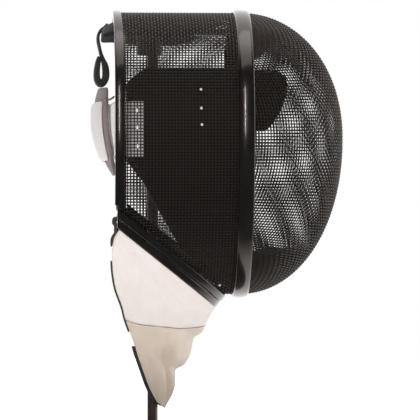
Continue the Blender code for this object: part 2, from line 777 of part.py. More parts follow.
def crown_pad(collection):
    front = REAR_X - CROWN_PAD_BEHIND + CROWN_PAD_LENGTH
    sections = []
    for share in shares(9):
        drop = read(CROWN_PAD_ROWS, "along", "drop", share) * CROWN_PAD_DROP
        inset = MESH_WALL + EASE + drop
        half = read(CROWN_PAD_ROWS, "along", "half", share) * CROWN_PAD_HALF
        wall = read(CROWN_PAD_ROWS, "along", "wall", share) * CROWN_PAD_WALL
        x = front - CROWN_PAD_LENGTH * share
        outer, inner = [], []
        edge = math.asin(min(1.0, half / (HALF_WIDTH - inset)) ** (CROWN_POWER / 2))
        for n in shares(12):
            turn = edge * (2 * n - 1)
            outer.append(section_point(turn, x, inset))
            inner.append(section_point(turn, x, inset + wall))
        sections.append(outer + inner[::-1])
    place(loft_of("crown_pad", sections), collection, "black_padding")


def forehead_pad(collection):
    """Inside the front mesh, over the brow, from temple to temple."""
    edge = turn_at_height(EYE_HEIGHT + FOREHEAD_PAD_RISE)
    inset = MESH_WALL + 2 * EASE
    web = math.asin(((RING_WEB / 2 + EASE) / FACE_DEPTH) ** (FACE_POWER / 2)) * 1.6
    rows = []
    for n in shares(24):
        turn = edge * (2 * n - 1)
        reach = FOREHEAD_PAD_DEPTH * (1 - 0.42 * abs(2 * n - 1) ** 3)
        far = math.asin((reach / FACE_DEPTH) ** (FACE_POWER / 2))
        rows.append([face_point(turn, web + (far - web) * m, inset) for m in shares(3)])
    thing = grid_of("forehead_pad", rows)
    thicken(place(thing, collection, "black_padding"), PAD_WALL, HEAD_MIDDLE)


def temple_pads(collection):
    """Inside the front mesh, where the cheek pads end, on each side."""
    inset = MESH_WALL + 2 * EASE
    start = RING_X + RING_WEB / 2 + EASE
    for side, name in ((-1, "temple_pad_right"), (1, "temple_pad_left")):
        rows = []
        for share in shares(6):
            z = EYE_HEIGHT + TEMPLE_PAD_RISE - TEMPLE_PAD_HEIGHT * share
            ahead = read(TEMPLE_PAD_ROWS, "down", "ahead", share) * FACE_DEPTH
            end = RING_X + ahead
            rows.append([
                face_side(start + (end - start) * m, z, inset, side) for m in shares(3)
            ])
        thing = grid_of(name, rows)
        thicken(place(thing, collection, "black_padding"), PAD_WALL, HEAD_MIDDLE)


def cheek_pads(collection):
    """Inside the side mesh, from the temple to the jaw, on each side."""
    top = EYE_HEIGHT + CHEEK_PAD_RISE
    height = (top - CHIN_Z) * CHEEK_PAD_ROWS[-1]["down"]
    front = RING_X - RING_WEB
    for side, name in ((-1, "cheek_pad_right"), (1, "cheek_pad_left")):
        rows = []
        for share in shares(18):
            z = top - height * share
            turn = turn_at_height(z, PAD_INSET)
            behind = read(CHEEK_PAD_ROWS, "down", "behind", (top - z) / (top - CHIN_Z))
            rear = max(RING_X - behind * SIDE_DEPTH, jaw_x_at(z) + 2 * EASE)
            rows.append([
                section_point(turn * side, rear + (front - rear) * m, PAD_INSET)
                for m in shares(3)
            ])
        thing = grid_of(name, rows)
        thicken(place(thing, collection, "black_padding"), PAD_WALL, HEAD_MIDDLE)


def chin_pad(collection):
    """Inside the front mesh, under the chin."""
    inset = MESH_WALL + 2 * EASE
    level = CHIN_PAD_DROP / (CHIN_DROP - inset)
    edge = math.acos(level ** (JAW_POWER / 2)) * 0.93
    web = math.asin(((RING_WEB / 2 + EASE) / FACE_DEPTH) ** (FACE_POWER / 2)) * 1.6
    rows = []
    for n in shares(18):
        turn = math.pi + edge * (2 * n - 1)
        low = level / abs(math.cos(turn)) ** (2 / JAW_POWER)
        far = math.acos(min(0.995, low) ** (FACE_POWER / 2))
        far = max(far, web * 1.5)
        rows.append([face_point(turn, web + (far - web) * m, inset) for m in shares(5)])
    thing = grid_of("chin_pad", rows)
    thicken(place(thing, collection, "black_padding"), PAD_WALL, HEAD_MIDDLE)


# Back of the head

def cup_point(turn, z, out=0.0):
    """Outer face of the felt cup. turn is 0 at its middle."""
    share = (CUP_TOP_Z - z) / (CUP_TOP + CUP_BOTTOM)
    middle = read(CUP_ROWS, "down", "middle", share) * CUP_BEHIND
    edge = read(CUP_ROWS, "down", "edge", share) * CUP_BEHIND
    half = read(CUP_ROWS, "down", "half", share) * CUP_HALF_WIDTH
    round_off = (1 - math.cos(turn)) / (1 - math.cos(CUP_TURN))
    side = math.sin(turn) / math.sin(CUP_TURN)
    point = Vector((REAR_X - middle + (middle - edge) * round_off, half * side, z))
    if not out:
        return point
    step = 0.1 * MM
    around = cup_point(turn + 1e-3, z) - cup_point(turn - 1e-3, z)
    up = cup_point(turn, z + step) - cup_point(turn, z - step)
    return point + up.cross(around).normalized() * out


def cup_sheet(name, top, bottom, turn_limit, out, wall, material, collection):
    """A curved sheet of the cup's form between two heights, its wall inward from out 0."""
    rows = []
    for n in shares(9):
        z = top + (bottom - top) * n
        rows.append([cup_point(turn_limit * (2 * m - 1), z, out) for m in shares(10)])
    thing = grid_of(name, rows)
    thicken(place(thing, collection, material), wall, HEAD_MIDDLE, inward=out == 0)


def head_cup(collection):
    cup_sheet(
        "head_cup", CUP_TOP_Z, EYE_HEIGHT - CUP_BOTTOM, CUP_TURN, 0.0, CUP_WALL,
        "grey_felt", collection,
    )


def back_pad(collection):
    cup_sheet(
        "back_pad", EYE_HEIGHT + BACK_PAD_TOP, EYE_HEIGHT - BACK_PAD_BOTTOM, BACK_PAD_TURN,
        FIT, BACK_PAD_WALL, "white_band", collection,
    )


def side_bands(collection):
    """White elastic from inside the mesh, past the rear channel, to the cup's wings."""
    top = EYE_HEIGHT + BAND_TOP
    channel = MESH_WALL + FIT + CHANNEL_LEG + EASE + FIT
    for side, name in ((-1, "side_band_right"), (1, "side_band_left")):
        rows = []
        for n in shares(6):
            z = top - BAND_WIDTH * n
            turn = turn_at_height(z) * side
            leg_end = REAR_X + CHANNEL_INNER - CHANNEL_BACK - FIT
            row = [
                section_point(turn, REAR_X + BAND_REACH, BAND_INSET),
                section_point(turn, leg_end + 4 * MM, BAND_INSET),
                section_point(turn, leg_end + 1 * MM, channel),
                section_point(turn, REAR_X - CHANNEL_BACK, channel),
            ]
            inside = [
                cup_point((CUP_TURN - back) * side, z, -CUP_WALL - 2.5 * EASE)
                for back in (0.10, 0.28, 0.45)
            ]
            last = row[-1]
            row.append(last + (inside[0] - last) * 0.12 + Vector((-1.2 * MM, 0, 0)))
            rows.append(row + inside)
        thing = grid_of(name, rows)
        thicken(place(thing, collection, "white_band"), BAND_WALL, HEAD_MIDDLE)


def smooth_line(rows, steps):
    """Points on a smooth curve through these, with this many steps between two."""
    points = []
    for i in range(len(rows) - 1):
        a, b = rows[max(i - 1, 0)], rows[i]
        c, d = rows[i + 1], rows[min(i + 2, len(rows) - 1)]
        for n in range(steps):
            t = n / steps
            points.append(0.5 * (
                2 * b + (c - a) * t + (2 * a - 5 * b + 4 * c - d) * t ** 2
                + (3 * b - a - 3 * c + d) * t ** 3
            ))
    return points + [rows[-1]]


def top_strap(collection):
    """Black webbing from the crown pad to the cup, its end folded back up as a loop."""
    rows = [
        Vector((REAR_X - row["behind"] * CUP_BEHIND, 0,
                CROWN_Z - row["down"] * (CROWN_Z - CUP_TOP_Z)))
        for row in STRAP_ROWS
    ]
    points = smooth_line(rows, STRAP_STEPS)
    walls = smooth_line([row["wall"] * STRAP_WALL for row in STRAP_ROWS], STRAP_STEPS)
    sections = []
    for i, point in enumerate(points):
        along = points[min(i + 1, len(points) - 1)] - points[max(i - 1, 0)]
        normal = along.cross(Vector((0, 1, 0))).normalized() * walls[i] / 2
        across = Vector((0, STRAP_WIDTH / 2, 0))
        sections.append([
            point - across - normal, point + across - normal,
            point + across + normal, point - across + normal,
        ])
    place(loft_of("top_strap", sections), collection, "black_edging")


def cup_ties(collection):
    """Thin elastics from the cup's upper corners to the rear channel."""
    z = EYE_HEIGHT + BACK_PAD_TOP + 2 * MM
    for side, name in ((-1, "cup_tie_right"), (1, "cup_tie_left")):
        start = cup_point(CUP_TURN * side, z, -CUP_WALL / 2)
        start.y += side * (3 * FIT + TIE_WIDTH / 2)
        turn = turn_at_height(z + 3 * MM) * side
        channel = MESH_WALL + FIT + CHANNEL_LEG
        end = section_point(turn, REAR_X - CHANNEL_BACK - FIT, channel / 2)
        end.x -= FIT + TIE_WIDTH / 2
        sag = (start + end) / 2 + Vector((0, 0, -1.5 * MM))
        curve = bpy.data.curves.new(name, "CURVE")
        curve.dimensions = "3D"
        curve.bevel_depth = TIE_WIDTH / 2
        curve.bevel_resolution = 1
        curve.use_fill_caps = True
        spline = curve.splines.new("POLY")
        line = smooth_line([start, sag, end], 3)
        spline.points.add(len(line) - 1)
        for point, at in zip(spline.points, line):
            point.co = (*at, 1)
        thing = bpy.data.objects.new(name, curve)
        collection.objects.link(thing)
        curve.materials.append(finish("black_edging"))


# Stand

def cylinder(name, radius, low, high, sides, collection, material, ahead=0.0):
    bpy.ops.mesh.primitive_cylinder_add(
        vertices=sides, radius=radius, depth=high - low, location=(ahead, 0, (high + low) / 2)
    )
    thing = bpy.context.object
    thing.name = thing.data.name = name
    for holder in list(thing.users_collection):
        holder.objects.unlink(thing)
    return place(thing, collection, material)


def stand(collection):
    base = cylinder("stand_base", BASE_WIDTH / 2, 0, BASE_WALL, 48, collection, "stand_metal")
    edge = base.modifiers.new("Edge", "BEVEL")
    edge.width, edge.segments, edge.limit_method = BASE_EDGE, 2, "ANGLE"
    low_edge = 0.5 * REST_WIDTH
    pad = CROWN_PAD_ROWS[2]
    under = MESH_WALL + EASE + pad["wall"] * CROWN_PAD_WALL
    turn = math.asin((low_edge / (HALF_WIDTH - under)) ** (CROWN_POWER / 2))
    rest_top = section_point(turn, RING_X, under).z - EASE - FIT
    rest_low = rest_top - REST_WALL
    collar_low = rest_low - FIT - COLLAR_HEIGHT
    cylinder(
        "stand_collar", COLLAR_WIDTH / 2, collar_low, rest_low - FIT, 24, collection,
        "stand_metal", -COLLAR_BEHIND,
    )
    cylinder(
        "stand_post", POST_WIDTH / 2, BASE_WALL + FIT, collar_low - FIT, 24, collection,
        "stand_metal",
    )
    outline = bpy.data.curves.new("stand_rest", "CURVE")
    outline.dimensions = "2D"
    outline.fill_mode = "BOTH"
    outline.extrude = REST_WALL / 2
    spline = outline.splines.new("POLY")
    straight = REST_LENGTH / 2 - REST_WIDTH / 2
    corners = []
    for centre, first in ((straight, -math.pi / 2), (-straight, math.pi / 2)):
        for share in shares(12):
            turn = first + math.pi * share
            corners.append((centre + REST_WIDTH / 2 * math.cos(turn),
                            REST_WIDTH / 2 * math.sin(turn)))
    spline.points.add(len(corners) - 1)
    for point, at in zip(spline.points, corners):
        point.co = (*at, 0, 1)
    spline.use_cyclic_u = True
    rest = bpy.data.objects.new("stand_rest", outline)
    rest.location = (REST_AHEAD, 0, rest_low + REST_WALL / 2)
    collection.objects.link(rest)
    outline.materials.append(finish("stand_metal"))


def main():
    clear_scene()
    collection = bpy.data.collections.new("fencing_mask")
    bpy.context.scene.collection.children.link(collection)
    for build in (
        front_mesh, side_mesh, front_trim, rear_trim, jaw_trim, bib_trim, bib, bib_skirt,
        bib_edgings, skirt_edgings, corner_tabs, crown_pad, forehead_pad, temple_pads,
        cheek_pads, chin_pad, head_cup, back_pad, side_bands, top_strap, cup_ties, stand,
    ):
        build(collection)


main()
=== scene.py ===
"""Looks of a fencing mask on its plain post stand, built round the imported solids."""

import math

import bmesh
import bpy
import numpy as np
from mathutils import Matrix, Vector


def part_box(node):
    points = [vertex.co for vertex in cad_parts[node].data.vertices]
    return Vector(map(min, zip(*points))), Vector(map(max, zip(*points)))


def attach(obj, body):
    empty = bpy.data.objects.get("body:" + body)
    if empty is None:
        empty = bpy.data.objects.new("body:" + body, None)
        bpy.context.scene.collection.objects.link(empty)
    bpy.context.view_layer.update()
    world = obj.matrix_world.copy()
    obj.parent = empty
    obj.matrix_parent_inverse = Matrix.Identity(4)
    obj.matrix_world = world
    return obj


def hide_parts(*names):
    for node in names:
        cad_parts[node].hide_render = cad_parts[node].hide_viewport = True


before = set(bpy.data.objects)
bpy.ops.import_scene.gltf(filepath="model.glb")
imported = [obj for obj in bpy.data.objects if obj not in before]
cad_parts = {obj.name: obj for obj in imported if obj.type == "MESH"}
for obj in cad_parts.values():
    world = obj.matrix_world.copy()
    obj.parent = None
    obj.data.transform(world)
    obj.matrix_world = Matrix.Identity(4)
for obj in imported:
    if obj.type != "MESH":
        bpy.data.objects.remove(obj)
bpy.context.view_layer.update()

bl_info = {
    "name": "Fencing mask",
    "version": (1, 0, 0),
    "blender": (4, 5, 0),
    "location": "3D View > Sidebar > Fencing mask",
    "description": "Builds the woven wire, trims, cloth, liner and stand of a fencing mask",
    "category": "Object",
}

MM = 0.001
BODY = "root"
SIDES = ((-1, "right"), (1, "left"))
WHITE = (1, 1, 1)


def table(keys, *rows):
    """Rows whose values go by the names of their columns."""
    return [dict(zip(keys.split(), row)) for row in rows]


# Wire shell
EYE_HEIGHT = 296 * MM
CROWN_RISE = 121.5 * MM
CHIN_DROP = 148.5 * MM
HALF_WIDTH = 109 * MM
REAR_HALF_WIDTH = 105 * MM
RING_X = 83 * MM
SIDE_DEPTH = 119.5 * MM
FACE_DEPTH = 99.5 * MM
JAW_SLOPE = math.radians(38.4)
RING_WIDTH = 14.8 * MM
CROWN_POWER = 2.3
JAW_POWER = 2.0
FACE_POWER = 2.08
REAR_X = RING_X - SIDE_DEPTH
FAR_AHEAD = 6.5 * MM
MESH_WALL = 2 * MM
FACE_WIRE_INSET = 1.0 * MM
FACE_WIRE_END = RING_X + 1.8 * MM
NET_END = RING_X - 30 * MM
NET_PULL = 0.05
CHIN_Z = EYE_HEIGHT - CHIN_DROP
CROWN_Z = EYE_HEIGHT + CROWN_RISE
JAW_X = RING_X - RING_WIDTH / 2 - 6.5 * MM
CORNER_Z = CHIN_Z + (JAW_X - REAR_X) * math.tan(JAW_SLOPE)
JAW_LENGTH = (JAW_X - REAR_X) / math.cos(JAW_SLOPE)
ALONG_JAW = Vector((-math.cos(JAW_SLOPE), 0, math.sin(JAW_SLOPE)))
UNDER_JAW = Vector((-math.sin(JAW_SLOPE), 0, -math.cos(JAW_SLOPE)))
JAW_FOOT = Vector((JAW_X, 0, CHIN_Z))

# Trims
FIT = 0.3 * MM
RING_BULGE = 3.4 * MM
RING_WEB = 3 * MM
WEB_DEPTH = 3 * MM
CHANNEL_WIDTH = 8.6 * MM
CHANNEL_INNER = 10.4 * MM
CHANNEL_BACK = 1.7 * MM
CHANNEL_LEG = 1.7 * MM
CHANNEL_CROWN = 80 * MM
CHANNEL_NARROWER = 1.5 * MM
CHANNEL_BEHIND = 0.8 * MM
CHANNEL_SWELL = 0.25 * MM
JAW_LEG_HEIGHT = 9.2 * MM
JAW_LEG_INSET = 2.4 * MM
JAW_LEG_WALL = 1.5 * MM
BAND_END = 2.3 * MM
BAND_SOFT = 1.3 * MM
JAW_TRIM_HEIGHT = 7.6 * MM
BIB_TRIM_HEIGHT = 6.8 * MM
CLOTH_TOP = JAW_TRIM_HEIGHT + BIB_TRIM_HEIGHT + 3 * FIT

# Throat cloth
BIB_LENGTH = 121 * MM
CLOTH_WALL = 1.5 * MM
SEAM_DROP = 29 * MM
SEAM_GAP = 0.4 * MM
SEAM_THREAD = 0.9 * MM
SEAM_ROWS = table(
    "side drop",
    (0.00, 1.00),
    (0.30, 1.07),
    (0.60, 0.98),
    (0.85, 0.90),
    (1.00, 0.77),
)
CLOTH_ROWS = table(
    "down front rear half",
    (0.00, 0.000, 0.930, 1.00),
    (0.12, -0.004, 0.893, 0.99),
    (0.20, -0.011, 0.882, 0.965),
    (0.27, -0.021, 0.847, 0.93),
    (0.34, -0.039, 0.798, 0.87),
    (0.42, -0.022, 0.732, 0.80),
    (0.50, -0.056, 0.648, 0.73),
    (0.58, -0.081, 0.532, 0.64),
    (0.64, -0.084, 0.460, 0.56),
    (0.71, -0.060, 0.354, 0.48),
    (0.75, -0.087, 0.296, 0.43),
    (0.80, -0.122, 0.230, 0.36),
    (0.88, -0.151, 0.114, 0.25),
    (0.95, -0.161, 0.007, 0.165),
    (1.00, -0.167, -0.097, 0.09),
)
CLOTH_FOLDS = table(
    "side down to_side to_down wide out",
    (0.42, 0.54, 0.16, 0.90, 0.08, 3.0),
    (0.55, 0.54, 0.27, 0.92, 0.05, -2.6),
    (0.69, 0.24, 0.42, 0.32, 0.035, -1.3),
    (0.66, 0.20, 0.38, 0.27, 0.04, 0.9),
    (0.87, 0.19, 0.80, 0.44, 0.03, 1.1),
    (0.93, 0.21, 0.89, 0.47, 0.03, -1.0),
    (0.30, 0.25, 0.22, 0.50, 0.08, -1.6),
    (0.75, 0.30, 0.72, 0.62, 0.08, -1.2),
)
TAB_ROWS = table(
    "down width wall",
    (0.00, 0.70, 0.80),
    (0.06, 1.00, 1.00),
    (0.22, 1.00, 1.00),
    (0.32, 0.60, 0.60),
    (0.45, 0.66, 0.50),
    (0.70, 0.70, 0.44),
    (1.00, 0.40, 0.36),
)

TAB_START = 9.5 * MM
TAB_LENGTH = 27 * MM
TAB_WIDTH = 4.2 * MM
TAB_HALF_WALL = 2.6 * MM
TAPE_HALF_WALL = 1.3 * MM

# Liner
CROWN_PAD_FRONT = REAR_X + 100.5 * MM
CROWN_PAD_LENGTH = 113.8 * MM
CROWN_PAD_HALF = 68 * MM
CROWN_PAD_DROP = 12.6 * MM
CROWN_PAD_INSET = 3.1 * MM
FACE_PAD_INSET = 3.9 * MM
FACE_PAD_START = 2.4 * MM
FACE_PAD_LIFT = math.asin((FACE_PAD_START / FACE_DEPTH) ** (FACE_POWER / 2)) * 1.6
FOREHEAD_PAD_EDGE = 88 * MM
FOREHEAD_PAD_REACH = 44 * MM
TEMPLE_PAD_TOP = 62 * MM
TEMPLE_PAD_HEIGHT = 57 * MM
CHEEK_PAD_TOP = 65.5 * MM
CHIN_PAD_DROP = 105 * MM
CROWN_PAD_ROWS = table(
    "along drop half wall",
    (0.00, 0.00, 0.66, 0.60),
    (0.14, 0.00, 0.80, 0.80),
    (0.27, 0.00, 0.98, 0.96),
    (0.64, 0.00, 1.00, 1.00),
    (0.80, 0.22, 0.92, 1.02),
    (0.91, 0.54, 0.78, 1.06),
    (1.00, 1.06, 0.64, 0.88),
)
CHEEK_PAD_ROWS = table(
    "down behind",
    (0.00, 0.775),
    (0.07, 0.930),
    (0.11, 0.935),
    (0.16, 0.887),
    (0.38, 0.887),
    (0.41, 0.880),
    (0.54, 0.765),
    (0.62, 0.685),
    (0.78, 0.514),
    (0.85, 0.445),
    (0.95, 0.260),
)
TEMPLE_PAD_ROWS = table(
    "down ahead",
    (0.00, 0.30),
    (0.10, 0.38),
    (0.37, 0.385),
    (0.65, 0.325),
    (0.85, 0.25),
    (1.00, 0.17),
)
PAD_INSET = 5.3 * MM

# Back of the head and top strap
CUP_TOP = 49 * MM
CUP_BOTTOM = 35 * MM
CUP_HALF_WIDTH = 60 * MM
CUP_BEHIND = 19.3 * MM
CUP_WALL = 5 * MM
CUP_TURN = math.radians(75)
CUP_TOP_Z = EYE_HEIGHT + CUP_TOP
CUP_ROWS = table(
    "down middle edge half",
    (0.00, 0.80, 0.40, 0.62),
    (0.07, 0.90, 0.44, 0.80),
    (0.15, 0.97, 0.48, 0.91),
    (0.37, 1.00, 0.50, 1.00),
    (0.50, 0.95, 0.47, 1.00),
    (0.64, 0.80, 0.40, 0.98),
    (0.80, 0.54, 0.28, 0.90),
    (0.90, 0.33, 0.18, 0.72),
    (1.00, 0.06, 0.04, 0.46),
)
BACK_PAD_TOP = EYE_HEIGHT + 34.4 * MM
BACK_PAD_HEIGHT = 54.9 * MM
BACK_PAD_TURN = math.radians(62)
ELASTIC_TOP = EYE_HEIGHT + 33.2 * MM
ELASTIC_HEIGHT = 51.7 * MM
ELASTIC_WALL = 1.5 * MM
ELASTIC_INSET = 2.9 * MM
ELASTIC_GAP = 1.35 * MM
TIE_Z = EYE_HEIGHT + 37 * MM
TIE_WIDTH = 1.9 * MM
STRAP_HALF_WIDTH = 12.5 * MM
STRAP_WALL = 5.4 * MM
STRAP_ROWS = table(
    "behind down wall",
    (0.35, 0.158, 0.44),
    (0.50, 0.197, 0.46),
    (0.70, 0.245, 0.52),
    (0.81, 0.312, 0.56),
    (0.81, 0.380, 0.56),
    (0.75, 0.462, 0.56),
    (0.68, 0.542, 0.58),
    (0.57, 0.624, 0.72),
    (0.47, 0.705, 1.10),
    (0.43, 0.785, 1.24),
    (0.45, 0.868, 1.28),
    (0.58, 0.928, 1.26),
    (0.74, 0.934, 1.24),
    (0.86, 0.878, 1.18),
    (0.88, 0.793, 1.12),
    (0.85, 0.707, 1.06),
    (0.80, 0.634, 0.92),
    (0.76, 0.588, 0.66),
)

# Pad threads: pixels of the 420 x 420 picture where a white thread shows on the near mesh
THREAD_PIXELS = (
    (200.7, 89.5), (201.1, 108.2), (201.7, 124.7), (136.6, 110.7), (137.1, 127.6),
    (137.7, 146.4), (219.7, 285.4),
)
KNOT_RADIUS = 1.2 * MM
KNOT_RINGS = 5
KNOT_SIDES = 12

# Camera
MM_PER_PIXEL = 0.96
PIXEL_OF_POST = 152.5
PIXEL_OF_TABLE = 448.0
CAMERA_AWAY = 2.6
CAMERA_TURN = math.radians(3.5)
PICTURE_SIDE = 420
PIXELS_ACROSS = 0.0635  # shift across the picture of a point 1 mm nearer the camera


# Lights, each by its turn right of the camera and its height in degrees, seen from the mask
LIGHTS = table(
    "name turn lift away size watts mirrored",
    ("key strip", -3, 17, 2.6, (0.06, 1.3), 12, True),
    ("left panel", -42, -1, 2.2, (0.9, 0.9), 6.8, False),
    ("right panel", 48, -1, 2.2, (0.9, 0.9), 8.6, False),
    ("rim panel", 96, 6, 2.0, (0.8, 1.6), 9, True),
    ("top panel", 10, 74, 1.7, (1.4, 1.4), 10, True),
)


# Sizes and colours that a user would change

def length(name, text, default):
    return bpy.props.FloatProperty(name=name, description=text, default=default, unit="LENGTH")


def colour(name, text, default):
    return bpy.props.FloatVectorProperty(
        name=name, description=text, size=3, default=default, subtype="COLOR")


class MaskLook(bpy.types.PropertyGroup):
    wire_pitch: length("Wire pitch", "Middle of one wire to the middle of the next", 3.0 * MM)
    side_wire: length("Side wire", "Thickness of the side mesh's wire", 1.08 * MM)
    face_wire: length("Face wire", "Thickness of the face mesh's wire", 1.1 * MM)
    wire_colour: colour("Wire colour", "Enamel on the wire", (0.0115, 0.0086, 0.0072))
    trim_colour: colour("Trim colour", "Moulded edging", (0.008, 0.0072, 0.0066))


class ClothLook(bpy.types.PropertyGroup):
    bib_colour: colour("Bib colour", "White throat cloth", (0.79, 0.725, 0.685))
    skirt_colour: colour("Skirt colour", "Conductive cloth", (0.66, 0.555, 0.465))
    pad_colour: colour("Pad colour", "Brushed cover of the pads", (0.008, 0.0072, 0.0070))
    felt_colour: colour("Felt colour", "Cup behind the head", (0.25, 0.21, 0.205))
    white_colour: colour("White colour", "Cover of the pad on the cup", (0.78, 0.72, 0.71))
    fold_height: length("Fold height", "How far the cloth's wrinkles stand out", 1.0 * MM)


class StandLook(bpy.types.PropertyGroup):
    stand_colour: colour("Stand colour", "Enamel on the stand", (0.045, 0.034, 0.029))
    base_edge: length("Base edge", "Rounding of the base's rim", 2.0 * MM)


# Shader parts

class Board:
    """Adds nodes to a tree and joins them."""

    def __init__(self, tree):
        self.tree = tree

    def give(self, node, inputs):
        """Sets these inputs of a node, or joins them to the outputs given."""
        for key, value in inputs.items():
            if isinstance(value, bpy.types.NodeSocket):
                self.tree.links.new(value, node.inputs[key])
            else:
                node.inputs[key].default_value = value

    def add(self, kind, inputs=None, **settings):
        new = self.tree.nodes.new(kind)
        for key, value in settings.items():
            setattr(new, key, value)
        self.give(new, inputs or {})
        return new

    def group(self, tree, **inputs):
        return self.add("ShaderNodeGroup", inputs, node_tree=tree).outputs

    def maths(self, kind, *values):
        return self.add("ShaderNodeMath", dict(enumerate(values)), operation=kind).outputs[0]

    def mixed(self, factor, first, second, blend="MIX"):
        inputs = {0: factor, 6: first, 7: second}
        return self.add("ShaderNodeMix", inputs, data_type="RGBA", blend_type=blend).outputs[2]

    def noise(self, place, scale, detail, **more):
        inputs = {"Vector": place, "Scale": scale, "Detail": detail, **more}
        return self.add("ShaderNodeTexNoise", inputs).outputs[0]

    def clamped(self, value):
        return self.add("ShaderNodeClamp", {0: value}).outputs[0]

    def ramp(self, value, low, high):
        """0 up to the low value and 1 from the high one on."""
        inputs = {0: value, 1: low, 2: high, 3: 0.0, 4: 1.0}
        return self.add("ShaderNodeMapRange", inputs).outputs[0]

    def bump(self, height, distance, strength):
        inputs = {"Height": height, "Distance": distance, "Strength": strength}
        return self.add("ShaderNodeBump", inputs).outputs[0]


def new_group(name, numbers):
    """An empty group that takes a place and these numbers and gives a height and a shade."""
    group = bpy.data.node_groups.new(name, "ShaderNodeTree")
    group.interface.new_socket("Place", in_out="INPUT", socket_type="NodeSocketVector")
    for label, default in numbers.items():
        socket = group.interface.new_socket(label, in_out="INPUT", socket_type="NodeSocketFloat")
        socket.default_value = default
    for label in ("Height", "Shade"):
        group.interface.new_socket(label, in_out="OUTPUT", socket_type="NodeSocketFloat")
    b = Board(group)
    return group, b, b.add("NodeGroupInput").outputs, b.add("NodeGroupOutput")


def weave_group():
    """Crossing threads over a surface laid out in metres."""
    name = "Crossing threads"
    if name in bpy.data.node_groups:
        return bpy.data.node_groups[name]
    group, b, takes, gives = new_group(name, {"Threads": 1600.0, "Unevenness": 0.3})
    parts = b.add("ShaderNodeSeparateXYZ", {0: takes["Place"]}).outputs
    across = b.maths("MULTIPLY", parts[0], takes["Threads"])
    down = b.maths("MULTIPLY", parts[1], takes["Threads"])
    wave_a = b.maths("ABSOLUTE", b.maths("SINE", b.maths("MULTIPLY", across, math.pi)))
    wave_b = b.maths("ABSOLUTE", b.maths("SINE", b.maths("MULTIPLY", down, math.pi)))
    squares = b.maths("ADD", b.maths("FLOOR", across), b.maths("FLOOR", down))
    over = b.maths("ABSOLUTE", b.maths("MODULO", squares, 2.0))
    first = b.maths("MULTIPLY", wave_a, over)
    second = b.maths("MULTIPLY", wave_b, b.maths("SUBTRACT", 1.0, over))
    height = b.maths("ADD", first, second)
    noise = b.noise(takes["Place"], 420.0, 3.0, Roughness=0.6)
    uneven = b.maths("MULTIPLY", b.maths("SUBTRACT", noise, 0.5), takes["Unevenness"])
    shade = b.maths("MULTIPLY_ADD", height, 0.5, b.maths("ADD", uneven, 0.5))
    b.give(gives, {"Height": b.maths("ADD", height, uneven), "Shade": b.clamped(shade)})
    return group


def wear_group():
    """Slow uneven tone over a piece, as from handling and dust."""
    name = "Uneven tone"
    if name in bpy.data.node_groups:
        return bpy.data.node_groups[name]
    group, b, takes, gives = new_group(name, {"Scale": 30.0, "Contrast": 1.0})
    broad = b.noise(takes["Place"], takes["Scale"], 4.0, Roughness=0.55)
    centred = b.maths("MULTIPLY", b.maths("SUBTRACT", broad, 0.5), takes["Contrast"])
    shade = b.clamped(b.maths("MULTIPLY_ADD", centred, 2.0, 0.5))
    b.give(gives, {"Height": broad, "Shade": shade})
    return group


def fibre_group():
    """Short tangled fibres, as on felt and brushed cloth."""
    name = "Tangled fibres"
    if name in bpy.data.node_groups:
        return bpy.data.node_groups[name]
    group, b, takes, gives = new_group(name, {"Scale": 500.0})
    fine = b.noise(takes["Place"], takes["Scale"], 5.0, Roughness=0.7, Distortion=1.2)
    broad = b.noise(takes["Place"], 60.0, 2.0)
    both = b.maths("MULTIPLY_ADD", fine, 0.7, b.maths("MULTIPLY", broad, 0.3))
    shade = b.clamped(b.maths("MULTIPLY_ADD", b.maths("SUBTRACT", both, 0.5), 2.2, 0.5))
    b.give(gives, {"Height": fine, "Shade": shade})
    return group


def dim(colour, share):
    return (colour[0] * share, colour[1] * share, colour[2] * share, 1.0)


def blank(name):
    """A new material, its board and its shader."""
    material = bpy.data.materials.new(name)
    material.use_nodes = True
    tree = material.node_tree
    return material, Board(tree), tree.nodes["Principled BSDF"]


def enamel(name, colour, rough, spread, scale, coat=0.0):
    """Paint or moulded rubber with a slightly uneven gloss."""
    if name in bpy.data.materials:
        return bpy.data.materials[name]
    material, b, shader = blank(name)
    place = b.add("ShaderNodeTexCoord").outputs["Object"]
    tone = b.group(wear_group(), Place=place, Scale=scale, Contrast=1.0)
    b.give(shader, {
        "Base Color": b.mixed(tone["Shade"], dim(colour, 1 - spread), dim(colour, 1 + spread)),
        "Roughness": b.maths("MULTIPLY_ADD", tone["Shade"], 0.10, rough - 0.05),
        "Specular Tint": (1.0, 0.83, 0.75, 1.0),
        "Coat Weight": coat,
        "Coat Roughness": 0.08,
        "Normal": b.bump(tone["Height"], 0.15 * MM, 0.4),
    })
    return material


def woven_cloth(name, colour, threads, depth, rough=0.85, spread=0.06):
    """Cloth with crossing threads, laid out on the piece's own map in metres."""
    if name in bpy.data.materials:
        return bpy.data.materials[name]
    material, b, shader = blank(name)
    place = b.add("ShaderNodeUVMap", uv_map="metres").outputs[0]
    weave = b.group(weave_group(), Place=place, Threads=threads, Unevenness=0.35)
    tone = b.group(wear_group(), Place=place, Scale=45.0, Contrast=1.0)
    base = b.mixed(weave["Shade"], dim(colour, 1 - 2 * spread), dim(colour, 1 + spread))
    toned = b.mixed(tone["Shade"], dim(WHITE, 1 - spread), dim(WHITE, 1 + spread * 0.4))
    b.give(shader, {
        "Base Color": b.mixed(1.0, base, toned, "MULTIPLY"),
        "Roughness": b.maths("MULTIPLY_ADD", weave["Shade"], -0.08, rough),
        "Sheen Weight": 0.15,
        "Sheen Roughness": 0.6,
        "Normal": b.bump(weave["Height"], depth, 0.7),
    })
    return material


